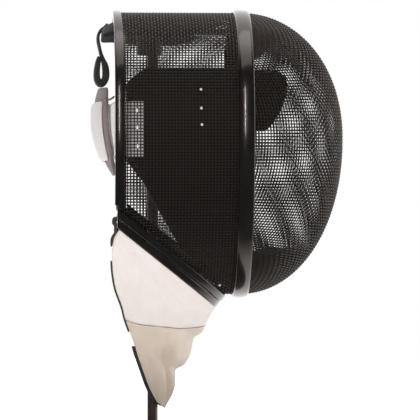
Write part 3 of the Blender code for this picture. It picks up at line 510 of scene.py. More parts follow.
def brushed_cloth(name, colour, sheen, scale=520.0, depth=0.25 * MM):
    """Felt or a brushed cover."""
    if name in bpy.data.materials:
        return bpy.data.materials[name]
    material, b, shader = blank(name)
    place = b.add("ShaderNodeTexCoord").outputs["Object"]
    fibres = b.group(fibre_group(), Place=place, Scale=scale)
    tone = b.group(wear_group(), Place=place, Scale=35.0, Contrast=1.0)
    base = b.mixed(fibres["Shade"], dim(colour, 0.72), dim(colour, 1.22))
    toned = b.mixed(tone["Shade"], dim(WHITE, 0.88), dim(WHITE, 1.05))
    b.give(shader, {
        "Base Color": b.mixed(1.0, base, toned, "MULTIPLY"),
        "Roughness": b.maths("MULTIPLY_ADD", fibres["Shade"], -0.06, 0.92),
        "Sheen Weight": sheen,
        "Sheen Roughness": 0.5,
        "Normal": b.bump(fibres["Height"], depth, 0.8),
    })
    return material


def wire_enamel(colour):
    return enamel("Wire enamel", colour, rough=0.36, spread=0.3, scale=300.0)


def black_tape():
    return woven_cloth("Black tape", (0.020, 0.018, 0.017), 900.0, 0.2 * MM, spread=0.25)


# Shape tools

def add_piece(context, name, points, faces, material, laid_out=None, replaces=()):
    """A new mesh that rides on the body, with its finish and, if given, its map in metres."""
    mesh = bpy.data.meshes.new(name)
    mesh.from_pydata([tuple(point) for point in points], [], faces)
    mesh.shade_smooth()
    piece = bpy.data.objects.new(name, mesh)
    context.scene.collection.objects.link(piece)
    if laid_out is not None:
        layer = mesh.uv_layers.new(name="metres")
        flat = np.asarray(laid_out, dtype=np.float32)
        order = np.empty(len(mesh.loops), dtype=np.int32)
        mesh.loops.foreach_get("vertex_index", order)
        layer.data.foreach_set("uv", flat[order].ravel())
    mesh.materials.append(material)
    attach(piece, BODY)
    if replaces:
        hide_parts(*replaces)
    return piece


def grid_map(rows):
    """Distances along and across a grid of points, in metres, for each of its points."""
    at = np.array([[tuple(point) for point in row] for row in rows])
    along = np.linalg.norm(np.diff(at, axis=1), axis=2).mean(axis=0)
    down = np.linalg.norm(np.diff(at, axis=0), axis=2).mean(axis=1)
    u = np.concatenate([[0], np.cumsum(along)])
    v = np.concatenate([[0], np.cumsum(down)])
    return np.array([[(a, c) for a in u] for c in v]).reshape(-1, 2)


def grid_faces(rows, across, joined=False, start=0, looped=False):
    """Faces between rows of points. joined closes each row, looped the first row to the last."""
    faces = []
    for i in range(rows if looped else rows - 1):
        here, there = start + i * across, start + (i + 1) % rows * across
        for j in range(across if joined else across - 1):
            k = (j + 1) % across
            faces.append((here + j, here + k, there + k, there + j))
    return faces


def circle(count):
    """Turns at equal steps, once round."""
    return [2 * math.pi * n / count for n in range(count)]


def closed_out(piece):
    """Turns a closed body's faces outward."""
    edit = bmesh.new()
    edit.from_mesh(piece.data)
    bmesh.ops.recalc_face_normals(edit, faces=edit.faces)
    edit.to_mesh(piece.data)
    edit.free()


def face_out(piece, core, outward=True):
    """Turns an open surface's faces away from the point it goes round, or towards it."""
    edit = bmesh.new()
    edit.from_mesh(piece.data)
    facing = sum(
        face.normal.dot(face.calc_center_median() - core) * face.calc_area() for face in edit.faces
    )
    if (facing < 0) == outward:
        bmesh.ops.reverse_faces(edit, faces=edit.faces)
    edit.to_mesh(piece.data)
    edit.free()
    return piece


def sheet_piece(context, name, rows, wall, core, material, replaces=()):
    """A sheet through rows of points, its wall towards the core."""
    points = [point for row in rows for point in row]
    faces = grid_faces(len(rows), len(rows[0]))
    piece = add_piece(context, name, points, faces, material, grid_map(rows), replaces)
    face_out(piece, core)
    solid = piece.modifiers.new("Wall", "SOLIDIFY")
    solid.thickness = wall
    solid.offset = -1
    solid.use_even_offset = True
    return piece


def swept(context, name, sections, material, joined=False, replaces=()):
    """A closed body through sections, with its map in metres."""
    across = len(sections[0])
    points = [point for section in sections for point in section]
    faces = grid_faces(len(sections), across, joined=True, looped=joined)
    if not joined:
        faces.append(tuple(reversed(range(across))))
        faces.append(tuple(range((len(sections) - 1) * across, len(sections) * across)))
    piece = add_piece(context, name, points, faces, material, grid_map(sections), replaces)
    closed_out(piece)
    piece.data.set_sharp_from_angle(angle=math.radians(50))
    return piece


def read(rows, key, column, at):
    """A column of a table at this key, on a smooth curve through the rows."""
    keys = [row[key] for row in rows]
    values = [row[column] for row in rows]
    if at <= keys[0]:
        return values[0]
    if at >= keys[-1]:
        return values[-1]
    i = max(n for n in range(len(keys) - 1) if keys[n] <= at)

    def slope(n):
        low, high = max(n - 1, 0), min(n + 1, len(keys) - 1)
        return (values[high] - values[low]) / (keys[high] - keys[low])

    span = keys[i + 1] - keys[i]
    t = (at - keys[i]) / span
    return (
        (2 * t ** 3 - 3 * t ** 2 + 1) * values[i]
        + (t ** 3 - 2 * t ** 2 + t) * span * slope(i)
        + (-2 * t ** 3 + 3 * t ** 2) * values[i + 1]
        + (t ** 3 - t ** 2) * span * slope(i + 1)
    )


def shares(count):
    return [n / count for n in range(count + 1)]


def signed(value, power):
    """A power that keeps the sign."""
    return math.copysign(abs(value) ** power, value)


def power_of(value, power):
    return signed(value, 2 / power)


def way_at(points, i):
    """The way that a line of points runs at this one."""
    return points[min(i + 1, len(points) - 1)] - points[max(i - 1, 0)]


def smooth_line(rows, steps):
    """Points on a smooth curve through these, with this many steps between two."""
    points = []
    for i in range(len(rows) - 1):
        a, b = rows[max(i - 1, 0)], rows[i]
        c, d = rows[i + 1], rows[min(i + 2, len(rows) - 1)]
        for n in range(steps):
            t = n / steps
            points.append(0.5 * (
                2 * b + (c - a) * t + (2 * a - 5 * b + 4 * c - d) * t ** 2
                + (3 * b - a - 3 * c + d) * t ** 3
            ))
    return points + [rows[-1]]


def tubes(context, name, lines, wire, material, replaces=(), sides=5):
    """Wires in one mesh, each along a line of points with their outward directions."""
    points, faces, count = [], [], 0
    for line in lines:
        path, normal = line[:, 0], line[:, 1]
        along = np.gradient(path, axis=0)
        along /= np.linalg.norm(along, axis=1, keepdims=True) + 1e-12
        normal = normal - along * (normal * along).sum(axis=1, keepdims=True)
        normal /= np.linalg.norm(normal, axis=1, keepdims=True) + 1e-12
        across = np.cross(along, normal)
        rings = np.stack([
            path + wire / 2 * (math.cos(a) * normal + math.sin(a) * across) for a in circle(sides)
        ], axis=1)
        points.append(rings.reshape(-1, 3))
        faces += grid_faces(len(path), sides, joined=True, start=count)
        faces.append(tuple(count + n for n in reversed(range(sides))))
        faces.append(tuple(count + (len(path) - 1) * sides + n for n in range(sides)))
        count += len(path) * sides
    points = np.concatenate(points)
    return add_piece(context, name, points, faces, material, replaces=replaces)


# Form of the wire shell

def section_point(turn, x, inset=0.0):
    """Side shell at this turn from the crown, towards +Y, and this far inside its face."""
    ahead = (x - REAR_X) / SIDE_DEPTH
    half = REAR_HALF_WIDTH + (HALF_WIDTH - REAR_HALF_WIDTH) * ahead
    power = CROWN_POWER if math.cos(turn) > 0 else JAW_POWER
    height = CROWN_RISE if math.cos(turn) > 0 else CHIN_DROP
    point = Vector((
        x,
        half * power_of(math.sin(turn), power),
        EYE_HEIGHT + height * power_of(math.cos(turn), power),
    ))
    return point - outward(turn, x) * inset if inset else point


def far_ahead(y):
    """How far the rear edge lies ahead on the far side, where the photo never shows it."""
    return FAR_AHEAD * max(0.0, y / HALF_WIDTH) ** 1.5


def outward(turn, x):
    step = 1e-4
    along = section_point(turn + step, x) - section_point(turn - step, x)
    return Vector((0, -along.z, along.y)).normalized()


def face_point(turn, lift, inset=0.0):
    """Front shell. lift is 0 at the ring and a quarter turn at the foremost point."""
    out = power_of(math.cos(lift), FACE_POWER)
    rim = section_point(turn, RING_X)
    point = Vector((
        RING_X + FACE_DEPTH * power_of(math.sin(lift), FACE_POWER),
        rim.y * out,
        EYE_HEIGHT + (rim.z - EYE_HEIGHT) * out,
    ))
    if not inset:
        return point
    step = 1e-4
    around = face_point(turn + step, lift) - face_point(turn - step, lift)
    along = face_point(turn, lift + step) - face_point(turn, lift - step)
    return point + around.cross(along).normalized() * inset


def face_side(x, z, inset, side):
    """The point this far inside the front shell, above its widest line, at this x and z."""
    forward = (x - RING_X) / (FACE_DEPTH - inset)
    out = (1 - forward ** FACE_POWER) ** (CROWN_POWER / FACE_POWER)
    up = (z - EYE_HEIGHT) / (CROWN_RISE - inset)
    y = (HALF_WIDTH - inset) * (out - up ** CROWN_POWER) ** (1 / CROWN_POWER)
    return Vector((x, y * side, z))


def turn_at_height(z, inset=0.0):
    low, high = 0.0, math.pi
    for _ in range(40):
        middle = (low + high) / 2
        low, high = (
            (middle, high) if section_point(middle, REAR_X, inset).z > z else (low, middle)
        )
    return (low + high) / 2


def even_turns(count, x, start=0.0, end=2 * math.pi):
    """Turns at equal distances round the side shell."""
    fine = np.linspace(start, end, 2400)
    at = np.array([tuple(section_point(turn, x)) for turn in fine])
    run = np.concatenate([[0], np.cumsum(np.linalg.norm(np.diff(at, axis=0), axis=1))])
    return np.interp(np.linspace(0, run[-1], count + 1), run, fine), run[-1]


CORNER_TURN = turn_at_height(CORNER_Z)
CORNER_HALF_WIDTH = section_point(CORNER_TURN, REAR_X).y
CORE = Vector((RING_X / 2, 0, EYE_HEIGHT))
THROAT = JAW_FOOT + ALONG_JAW * JAW_LENGTH / 2 + UNDER_JAW * BIB_LENGTH / 3


def jaw_x_at(z):
    return JAW_X - (z - CHIN_Z) / math.tan(JAW_SLOPE)


def jaw_z_at(x):
    return CHIN_Z + (JAW_X - x) * math.tan(JAW_SLOPE)


def dome_value(points, inset):
    """0 at points this far inside the face mesh's outer face, more further out."""
    x = (points[:, 0] - RING_X) / (FACE_DEPTH - inset)
    y = np.abs(points[:, 1]) / (HALF_WIDTH - inset)
    z = points[:, 2] - EYE_HEIGHT
    up = z > 0
    power = np.where(up, CROWN_POWER, JAW_POWER)
    z = np.abs(z) / np.where(up, CROWN_RISE - inset, CHIN_DROP - inset)
    out = (y ** power + z ** power) ** (1 / power)
    return np.abs(x) ** FACE_POWER + out ** FACE_POWER - 1


def dome_slope(points, inset):
    step = 1e-6
    return np.stack([
        (dome_value(points + move, inset) - dome_value(points - move, inset)) / (2 * step)
        for move in np.eye(3) * step
    ], axis=1)


def dome_midline(pitch, inset, side, rise):
    """Points this far apart from the foremost point round to the ring, along one midline."""
    lifts = np.linspace(math.pi / 2, -0.5, 6000)
    reach = (HALF_WIDTH if side else CROWN_RISE if rise > 0 else CHIN_DROP) - inset
    out = np.abs(np.cos(lifts)) ** (2 / FACE_POWER) * reach
    ahead = np.sign(np.sin(lifts)) * np.abs(np.sin(lifts)) ** (2 / FACE_POWER)
    x = RING_X + (FACE_DEPTH - inset) * ahead
    run = np.concatenate([[0], np.cumsum(np.hypot(np.diff(out), np.diff(x)))])
    steps = np.arange(0, run[-1], pitch)
    out, x = np.interp(steps, run, out), np.interp(steps, run, x)
    zero = np.zeros_like(out)
    return np.stack([x, out if side else zero, EYE_HEIGHT + (zero if side else out * rise)], axis=1)


def dome_quarter(pitch, inset, rise):
    """Crossings of a net of equal squares, pulled over a quarter of the dome. The first index
    counts towards +Y, the second up or down."""
    across, upright = dome_midline(pitch, inset, True, rise), dome_midline(pitch, inset, False, rise)
    net = np.full((len(across), len(upright), 3), np.nan)
    net[:, 0], net[0, :] = across, upright
    for total in range(2, len(across) + len(upright) - 1):
        i = np.arange(max(1, total - len(upright) + 1), min(len(across), total))
        j = total - i
        first, second, before = net[i - 1, j], net[i, j - 1], net[i - 1, j - 1]
        ready = (first[:, 0] > NET_END) & (second[:, 0] > NET_END)
        if not ready.any():
            continue
        first, second, before = first[ready], second[ready], before[ready]
        at = first + second - before
        for _ in range(12):
            a, b = at - first, at - second
            rest = np.stack([
                ((a ** 2).sum(axis=1) - pitch ** 2) / pitch,
                ((b ** 2).sum(axis=1) - pitch ** 2) / pitch,
                dome_value(at, inset) * NET_PULL,
            ], axis=1)
            slopes = np.stack([2 * a / pitch, 2 * b / pitch, dome_slope(at, inset) * NET_PULL], axis=1)
            slopes += np.eye(3) * 1e-9
            step = np.linalg.solve(slopes, rest[:, :, None])[:, :, 0]
            at = at - np.clip(step, -pitch, pitch)
        good = np.abs(rest).max(axis=1) < 1e-6
        good &= np.linalg.norm(at - before, axis=1) > 0.25 * pitch
        at[~good] = np.nan
        net[i[ready], j[ready]] = at
    return net


def dome_net(pitch, inset):
    """Crossings over the whole dome. The first index counts from -Y to +Y, the second from
    the chin to the crown."""
    high, low = dome_quarter(pitch, inset, 1), dome_quarter(pitch, inset, -1)
    half = np.concatenate([low[:, :0:-1], high], axis=1)
    mirror = half[:0:-1] * np.array([1, -1, 1])
    return np.concatenate([mirror, half], axis=0)


def at_cut(inside, beyond, cut):
    """Where the way from a crossing ahead of the cut to one beyond it meets the cut."""
    share = (inside[0] - cut) / max(inside[0] - beyond[0], 1e-9)
    return inside + (beyond - inside) * min(share, 1.0)


def wire_runs(line, cut):
    """Stretches of a line of crossings ahead of the cut, each with the numbers of its
    crossings. An end on the cut has the number -1."""
    runs, now = [], []
    for n, crossing in enumerate(line):
        there = np.isfinite(crossing[0])
        if there and crossing[0] >= cut:
            if not now and n and np.isfinite(line[n - 1, 0]):
                now.append((-1, at_cut(crossing, line[n - 1], cut)))
            now.append((n, crossing))
        elif now:
            if there:
                now.append((-1, at_cut(now[-1][1], crossing, cut)))
            runs.append(now)
            now = []
    if now:
        runs.append(now)
    return [run for run in runs if len(run) > 2]


# Throat cloth

def cloth_point(side, down, out=0.0):
    share = down / BIB_LENGTH
    front = read(CLOTH_ROWS, "down", "front", share) * JAW_LENGTH
    rear = read(CLOTH_ROWS, "down", "rear", share) * JAW_LENGTH
    rear -= FAR_AHEAD * max(0.0, side)
    deep = (CORNER_Z - CHIN_Z) / CHIN_DROP
    half = (CORNER_HALF_WIDTH - 1 * MM) * read(CLOTH_ROWS, "down", "half", share)
    back = abs(side) ** 1.6
    across = math.sqrt((2 * deep * back - (deep * back) ** 2) / (2 * deep - deep ** 2))
    swell = sum(fold_height(fold, abs(side), share) for fold in CLOTH_FOLDS) + out
    reach = 1 + swell / max(half, 20 * MM)
    along = front + (rear - front) * back - swell * (1 - across) ** 0.5
    return (
        JAW_FOOT + ALONG_JAW * along + UNDER_JAW * down
        + Vector((0, math.copysign(half * across * reach, side) if side else 0.0, 0))
    )


def fold_height(fold, side, share):
    run = (fold["to_side"] - fold["side"], fold["to_down"] - fold["down"])
    offset = (side - fold["side"], share - fold["down"])
    long = run[0] ** 2 + run[1] ** 2
    t = (offset[0] * run[0] + offset[1] * run[1]) / long
    away = (offset[0] * run[1] - offset[1] * run[0]) / math.sqrt(long)
    fade = math.exp(-max(0.0, -t, t - 1) ** 2 / 0.02) * max(0.0, 1.0 - abs(2 * t - 1) ** 6)
    return fold["out"] * MM * math.exp(-(away / fold["wide"]) ** 2) * fade


def seam_at(side):
    """The seam between the cloth's two parts, as a distance under the jaw plane."""
    height = CHIN_Z - SEAM_DROP * read(SEAM_ROWS, "side", "drop", abs(side))
    return cloth_down(side, height)


def cloth_down(side, height):
    """Where the cloth is this high, as a distance under the jaw plane."""
    low, high = CLOTH_TOP, BIB_LENGTH
    for _ in range(30):
        middle = (low + high) / 2
        low, high = (middle, high) if cloth_point(side, middle).z > height else (low, middle)
    return (low + high) / 2


def ripple(side, share, height):
    """Small wrinkles that run down the cloth, stronger at its rear."""
    slow = math.sin(side * 21.0 + 2.0 * share) * 0.45
    slow += math.sin(side * 37.0 - 3.1 * share + 1.3) * 0.3
    cross = math.sin(share * 19.0 + side * 6.0) * 0.2
    return height * (slow * (0.35 + 0.65 * abs(side)) + cross)


def cloth_frame(side, down):
    """A point of a rear edge, the way on behind it and the way out."""
    here = cloth_point(side, down)
    behind = (here - cloth_point(side * 0.97, down)).normalized()
    step = 1 * MM
    low = cloth_point(side, min(down + step, BIB_LENGTH))
    along = (low - cloth_point(side, down - step)).normalized()
    behind = (behind - along * behind.dot(along)).normalized()
    out = along.cross(behind).normalized()
    return here, behind, -out if out.y * side < 0 else out


# Back of the head

def cup_point(turn, z, out=0.0):
    """Outer face of the felt cup. turn is 0 at its middle."""
    share = (CUP_TOP_Z - z) / (CUP_TOP + CUP_BOTTOM)
    middle = read(CUP_ROWS, "down", "middle", share) * CUP_BEHIND
    edge = read(CUP_ROWS, "down", "edge", share) * CUP_BEHIND
    half = read(CUP_ROWS, "down", "half", share) * CUP_HALF_WIDTH
    round_off = (1 - math.cos(turn)) / (1 - math.cos(CUP_TURN))
    side = math.sin(turn) / math.sin(CUP_TURN)
    point = Vector((REAR_X - middle + (middle - edge) * round_off, half * side, z))
    if not out:
        return point
    step = 0.1 * MM
    around = cup_point(turn + 1e-3, z) - cup_point(turn - 1e-3, z)
    up = cup_point(turn, z + step) - cup_point(turn, z - step)
    return point + up.cross(around).normalized() * out


def swell(n, count):
    """0 at either end of a row of points, rising round to 1 within 18 per cent of it."""
    run = min(1, min(n, count - 1 - n) / max(1, (count - 1) * 0.18))
    return math.sqrt(1 - (1 - run) ** 2)


def soft_pad(context, name, rows, wall, core, material, replaces=(), edge=0.35):
    """A padded piece through rows of points on its outer face. Its wall swells towards the
    core, from this share at its edges to all of it in the middle."""
    outer = [point for row in rows for point in row]
    count, across = len(rows), len(rows[0])
    inner, columns = [], list(zip(*rows))
    for i in range(count):
        for j in range(across):
            here = rows[i][j]
            normal = way_at(columns[j], i).cross(way_at(rows[i], j)).normalized()
            if normal.dot(core - here) < 0:
                normal = -normal
            full = swell(j, across) * swell(i, count)
            inner.append(here + normal * wall * (edge + (1 - edge) * full))
    start = len(outer)
    faces = grid_faces(count, across)
    faces += [tuple(start + n for n in reversed(face)) for face in faces]
    rim = [(i * across + j, (i + 1) * across + j, j > 0)
           for i in range(count - 1) for j in (0, across - 1)]
    rim += [(i * across + j, i * across + j + 1, i == 0)
            for j in range(across - 1) for i in (0, count - 1)]
    for a, b, flip in rim:
        quad = (a, b, start + b, start + a)
        faces.append(quad[::-1] if flip else quad)
    flat = np.tile(grid_map(rows), (2, 1))
    piece = add_piece(context, name, outer + inner, faces, material, flat, replaces)
    closed_out(piece)
    smooth = piece.modifiers.new("Round", "SUBSURF")
    smooth.levels = smooth.render_levels = 1
    return piece


def crown_pad_rows():
    rows = []
    for share in shares(24):
        inset = CROWN_PAD_INSET + read(CROWN_PAD_ROWS, "along", "drop", share) * CROWN_PAD_DROP
        half = read(CROWN_PAD_ROWS, "along", "half", share) * CROWN_PAD_HALF
        edge = math.asin(min(1.0, half / (HALF_WIDTH - inset)) ** (CROWN_POWER / 2))
        x = CROWN_PAD_FRONT - CROWN_PAD_LENGTH * share
        rows.append([section_point(edge * (2 * n - 1), x, inset) for n in shares(28)])
    return rows


def forehead_pad_rows():
    edge = turn_at_height(EYE_HEIGHT + FOREHEAD_PAD_EDGE)
    rows = []
    for n in shares(48):
        side = 2 * n - 1
        reach = FOREHEAD_PAD_REACH * (1 - 0.42 * abs(side) ** 3)
        far = math.asin((reach / FACE_DEPTH) ** (FACE_POWER / 2))
        lifts = [FACE_PAD_LIFT + (far - FACE_PAD_LIFT) * m for m in shares(12)]
        rows.append([face_point(edge * side, lift, FACE_PAD_INSET) for lift in lifts])
    return rows


def temple_pad_rows(side):
    """Inside the front mesh, where the cheek pad ends."""
    start = RING_X + FACE_PAD_START
    rows = []
    for share in shares(20):
        z = EYE_HEIGHT + TEMPLE_PAD_TOP - TEMPLE_PAD_HEIGHT * share
        end = RING_X + read(TEMPLE_PAD_ROWS, "down", "ahead", share) * FACE_DEPTH
        rows.append([
            face_side(start + (end - start) * m, z, FACE_PAD_INSET, side) for m in shares(14)
        ])
    return rows


def cheek_pad_rows(side):
    top = EYE_HEIGHT + CHEEK_PAD_TOP
    height = (top - CHIN_Z) * CHEEK_PAD_ROWS[-1]["down"]
    front = RING_X - RING_WEB
    rows = []
    for share in shares(40):
        z = top - height * share
        turn = turn_at_height(z, PAD_INSET)
        behind = read(CHEEK_PAD_ROWS, "down", "behind", (top - z) / (top - CHIN_Z))
        lower = min(1.0, max(0.0, (share - 0.40) / 0.12))
        rear = RING_X - behind * SIDE_DEPTH + 1.25 * lower * far_ahead(HALF_WIDTH * side)
        rear = max(rear, jaw_x_at(z) + 1.8 * MM)
        rows.append([
            section_point(turn * side, rear + (front - rear) * m, PAD_INSET) for m in shares(16)
        ])
    return rows


def chin_pad_rows():
    level = CHIN_PAD_DROP / (CHIN_DROP - FACE_PAD_INSET)
    edge = math.acos(level ** (JAW_POWER / 2)) * 0.93
    rows = []
    for n in shares(30):
        turn = math.pi + edge * (2 * n - 1)
        low = level / abs(math.cos(turn)) ** (2 / JAW_POWER)
        far = max(math.acos(min(0.995, low) ** (FACE_POWER / 2)), FACE_PAD_LIFT * 1.5)
        lifts = [FACE_PAD_LIFT + (far - FACE_PAD_LIFT) * m for m in shares(16)]
        rows.append([face_point(turn, lift, FACE_PAD_INSET) for lift in lifts])
    return rows


# Pieces

def kept(lines, line, least=3):
    """Adds the line if it is long enough, and gives an empty one to go on with."""
    if len(line) >= least:
        lines.append(np.array(line))
    return []


class MASK_OT_side_wires(bpy.types.Operator):
    """Weave the side mesh"""
    bl_idname = "mask.side_wires"
    bl_label = "Side wires"

    def execute(self, context):
        look = context.scene.mask_look
        wire, pitch = look.side_wire, look.wire_pitch
        middle = 0.5 * (RING_X + REAR_X)
        _, girth = even_turns(10, middle)
        count = 2 * round(girth / pitch / 2)
        turns, _ = even_turns(count, middle)
        front = RING_X - 2 * MM
        steps = int((front - REAR_X - 1 * MM) / pitch)
        xs = [front - pitch * m for m in range(steps + 1)]
        hoops, runs = [], []
        for m, x in enumerate(xs):
            hoops += self.hoops_at(m, x, turns, wire)
        for k in range(count):
            kept(runs, self.run_at(k, turns[k], xs, wire), 2)
        material = wire_enamel(look.wire_colour)
        tubes(context, "side_wire_hoops", hoops, wire, material,
              replaces=("side_mesh",))
        tubes(context, "side_wire_runs", runs, wire, material)
        return {"FINISHED"}

    def hoops_at(self, m, x, turns, wire):
        """The wire round the mesh at this place, cut at the rear edge and at the jaw."""
        hoops, line = [], []
        for k, turn in enumerate(turns):
            point, out = section_point(turn, x, wire), outward(turn, x)
            if x < REAR_X + far_ahead(point.y) + 1 * MM:
                line = kept(hoops, line)
                continue
            if x < JAW_X and point.z < jaw_z_at(x) + 0.5 * MM:
                line = kept(hoops, line, 1)
                continue
            lift = wire / 2 * (1 if (m + k) % 2 else -1)
            line.append((tuple(point + out * lift), tuple(out)))
        kept(hoops, line)
        return [self.to_jaw(hoop) for hoop in hoops]

    def to_jaw(self, line):
        """Carries a hoop's open ends down to the jaw edge."""
        for end, before in ((0, 1), (-1, -2)):
            last, prior = line[end, 0], line[before, 0]
            fall = last[2] - jaw_z_at(last[0])
            drop = prior[2] - last[2]
            if last[0] < JAW_X and 0.2 * MM < fall < 6 * MM and drop > 0:
                new = [[last + (last - prior) * min(fall / drop, 1.6), line[end, 1]]]
                line = np.concatenate([line, new] if end else [new, line])
        return line

    def run_at(self, k, turn, xs, wire):
        """The wire from the ring to the rear or jaw edge at this turn."""
        rear = section_point(turn, REAR_X, wire)
        start = REAR_X + far_ahead(rear.y)
        if rear.z < CORNER_Z:
            start = max(start, jaw_x_at(rear.z))
        line = []
        for m, x in enumerate(xs):
            if x < start:
                break
            out = outward(turn, x)
            lift = wire / 2 * (-1 if (m + k) % 2 else 1)
            line.append((tuple(section_point(turn, x, wire) + out * lift), tuple(out)))
        if line:
            line.append((tuple(section_point(turn, start, wire)), tuple(outward(turn, start))))
        return line


class MASK_OT_face_wires(bpy.types.Operator):
    """Weave the face mesh"""
    bl_idname = "mask.face_wires"
    bl_label = "Face wires"

    def execute(self, context):
        look = context.scene.mask_look
        material = wire_enamel(look.wire_colour)
        net = dome_net(look.wire_pitch, FACE_WIRE_INSET)
        for name, upright, replaces in (
            ("face_wires_upright", True, ("front_mesh",)), ("face_wires_across", False, ()),
        ):
            lines = []
            for i, line in enumerate(net if upright else net.swapaxes(0, 1)):
                for run in wire_runs(line, FACE_WIRE_END):
                    lines.append(self.woven(run, i, upright, look.face_wire))
            tubes(context, name, lines, look.face_wire, material,
                  replaces=replaces)
        return {"FINISHED"}

    def woven(self, run, i, upright, wire):
        """A stretch of wire that goes over and under the ones it crosses."""
        path = np.array([point for _, point in run])
        slope = dome_slope(path + 1e-7, FACE_WIRE_INSET)
        out = slope / (np.linalg.norm(slope, axis=1, keepdims=True) + 1e-12)
        lift = np.array([
            0 if n < 0 else (1 if (n + i) % 2 else -1) * (1 if upright else -1) for n, _ in run
        ])
        return np.stack([path + out * lift[:, None] * wire / 2, out], axis=1)


class MASK_OT_trims(bpy.types.Operator):
    """Mould the front ring, the rear channel and the two jaw bands"""
    bl_idname = "mask.trims"
    bl_label = "Trims"

    def execute(self, context):
        look = context.scene.mask_look
        gloss = enamel("Gloss trim", look.trim_colour, rough=0.2, spread=0.25, coat=0.35, scale=45.0)
        self.ring(context, gloss)
        self.channel(context, gloss)
        self.bands(context, gloss)
        self.jaw_legs(context, gloss)
        return {"FINISHED"}

    def ring(self, context, material):
        half, web = RING_WIDTH / 2, RING_WEB / 2
        profile = [(-half, FIT)]
        for share in shares(16):
            a = math.pi * (1 - share)
            bulge = (RING_BULGE - FIT) * math.sin(a) ** 0.55 if 0 < share < 1 else 0.2 * MM
            profile.append((half * math.cos(a), FIT + bulge))
        profile += [(half, FIT), (web, FIT), (web, -WEB_DEPTH), (-web, -WEB_DEPTH), (-web, FIT)]
        turns, _ = even_turns(220, RING_X)
        sections = []
        for turn in turns[:-1]:
            middle, normal = section_point(turn, RING_X), outward(turn, RING_X)
            sections.append([middle + Vector((x, 0, 0)) + normal * out for x, out in profile])
        swept(context, "front_ring", sections, material, joined=True,
              replaces=("front_trim",))

    def channel(self, context, material):
        back = -CHANNEL_BACK - FIT
        top, under = FIT + CHANNEL_LEG, -MESH_WALL - FIT
        low = under - CHANNEL_LEG
        inner, soft = back + CHANNEL_INNER, 0.8 * MM
        bevel, high = 0.25 * soft, top + CHANNEL_SWELL

        def at_crown(y):
            return max(0.0, 1 - abs(y) / CHANNEL_CROWN)

        def profile(y):
            front = back + CHANNEL_WIDTH - CHANNEL_NARROWER * at_crown(y)
            return [
                (back, low + soft), (back, top - soft), (back + bevel, top - bevel),
                (back + soft, top), (back + 2.4 * soft, high), (front - 2.4 * soft, high),
                (front - soft, top), (front - bevel, top - bevel), (front, top - soft),
                (front, FIT), (-FIT, FIT), (-FIT, under), (inner, under), (inner, low),
                (back + soft, low), (back + bevel, low + bevel),
            ]

        last = turn_at_height(CORNER_Z + JAW_TRIM_HEIGHT / 2)
        turns, _ = even_turns(150, REAR_X, -last, last)
        sections = []
        for turn in turns:
            middle, normal = section_point(turn, REAR_X), outward(turn, REAR_X)
            ahead = far_ahead(middle.y) - CHANNEL_BEHIND * at_crown(middle.y)
            sections.append([
                middle + Vector((x + ahead, 0, 0)) + normal * out for x, out in profile(middle.y)
            ])
        for side in (-1, 1):
            cut = []
            ahead = far_ahead(REAR_HALF_WIDTH * side)
            for x, out in profile(REAR_HALF_WIDTH):
                height = jaw_z_at(REAR_X + x + ahead) + 2 * FIT
                turn = turn_at_height(height) * side
                point = section_point(turn, REAR_X) + outward(turn, REAR_X) * out
                point.z = height
                cut.append(point + Vector((x + ahead, 0, 0)))
            sections.insert(0 if side < 0 else len(sections), cut)
        swept(context, "rear_channel", sections, material, replaces=("rear_trim",))

    def path(self, behind):
        """Points of the jaw edge, left to right, with outward normals in the jaw plane."""
        end = section_point(turn_at_height(jaw_z_at(behind)), behind)
        turns, _ = even_turns(110, REAR_X, CORNER_TURN, 2 * math.pi - CORNER_TURN)
        points = [end]
        for turn in turns:
            point = section_point(turn, jaw_x_at(section_point(turn, REAR_X).z))
            if point.x > behind + JAW_TRIM_HEIGHT * 0.7:
                points.append(point)
        points.append(Vector((end.x, -end.y, end.z)))
        normals = [
            way_at(points, i).cross(UNDER_JAW).normalized() for i in range(len(points))
        ]
        if normals[len(normals) // 2].x < 0:
            normals = [-normal for normal in normals]
        return points, normals

    def bands(self, context, material):
        for name, node, top, height, out, wall in (
            ("jaw_band", "jaw_trim", FIT, JAW_TRIM_HEIGHT, 1.8 * MM, 5 * MM),
            ("bib_band", "bib_trim", JAW_TRIM_HEIGHT + 2 * FIT, BIB_TRIM_HEIGHT, 1.2 * MM, 4.4 * MM),
        ):
            soft = BAND_SOFT
            profile = [(out - wall, top)]
            for corner, start in ((top + soft, -90), (top + height - soft, 0)):
                for n in shares(4):
                    a = math.radians(start + 90 * n)
                    profile.append((out - soft + soft * math.cos(a), corner + soft * math.sin(a)))
            profile.append((out - wall, top + height))
            back = REAR_X - CHANNEL_BACK - FIT
            points, normals = self.path(back + math.sin(JAW_SLOPE) * (top + height / 2))
            sections = [
                [point + normal * across + UNDER_JAW * down for across, down in profile]
                for point, normal in zip(points, normals)
            ]
            for end, before in ((0, 1), (-1, -2)):
                run = (points[end] - points[before]).normalized()
                plane = back + BAND_END + far_ahead(points[end].y)
                sections[end] = [
                    point + run * ((plane - point.x) / run.x) for point in sections[end]
                ]
            swept(context, name, sections, material, replaces=(node,))

    def jaw_legs(self, context, material):
        """The jaw band's inner leg, which shuts the lowest meshes from inside."""
        rear, front = REAR_X + 9 * MM, JAW_X - 12 * MM
        for side, word in SIDES:
            rows = []
            for share in shares(60):
                x = rear + (front - rear) * share
                turns = [
                    turn_at_height(jaw_z_at(x) + JAW_LEG_HEIGHT * up) * side for up in shares(6)
                ]
                rows.append([section_point(turn, x, JAW_LEG_INSET) for turn in turns])
            sheet_piece(context, f"jaw_band_leg_{word}", rows, JAW_LEG_WALL, CORE, material)


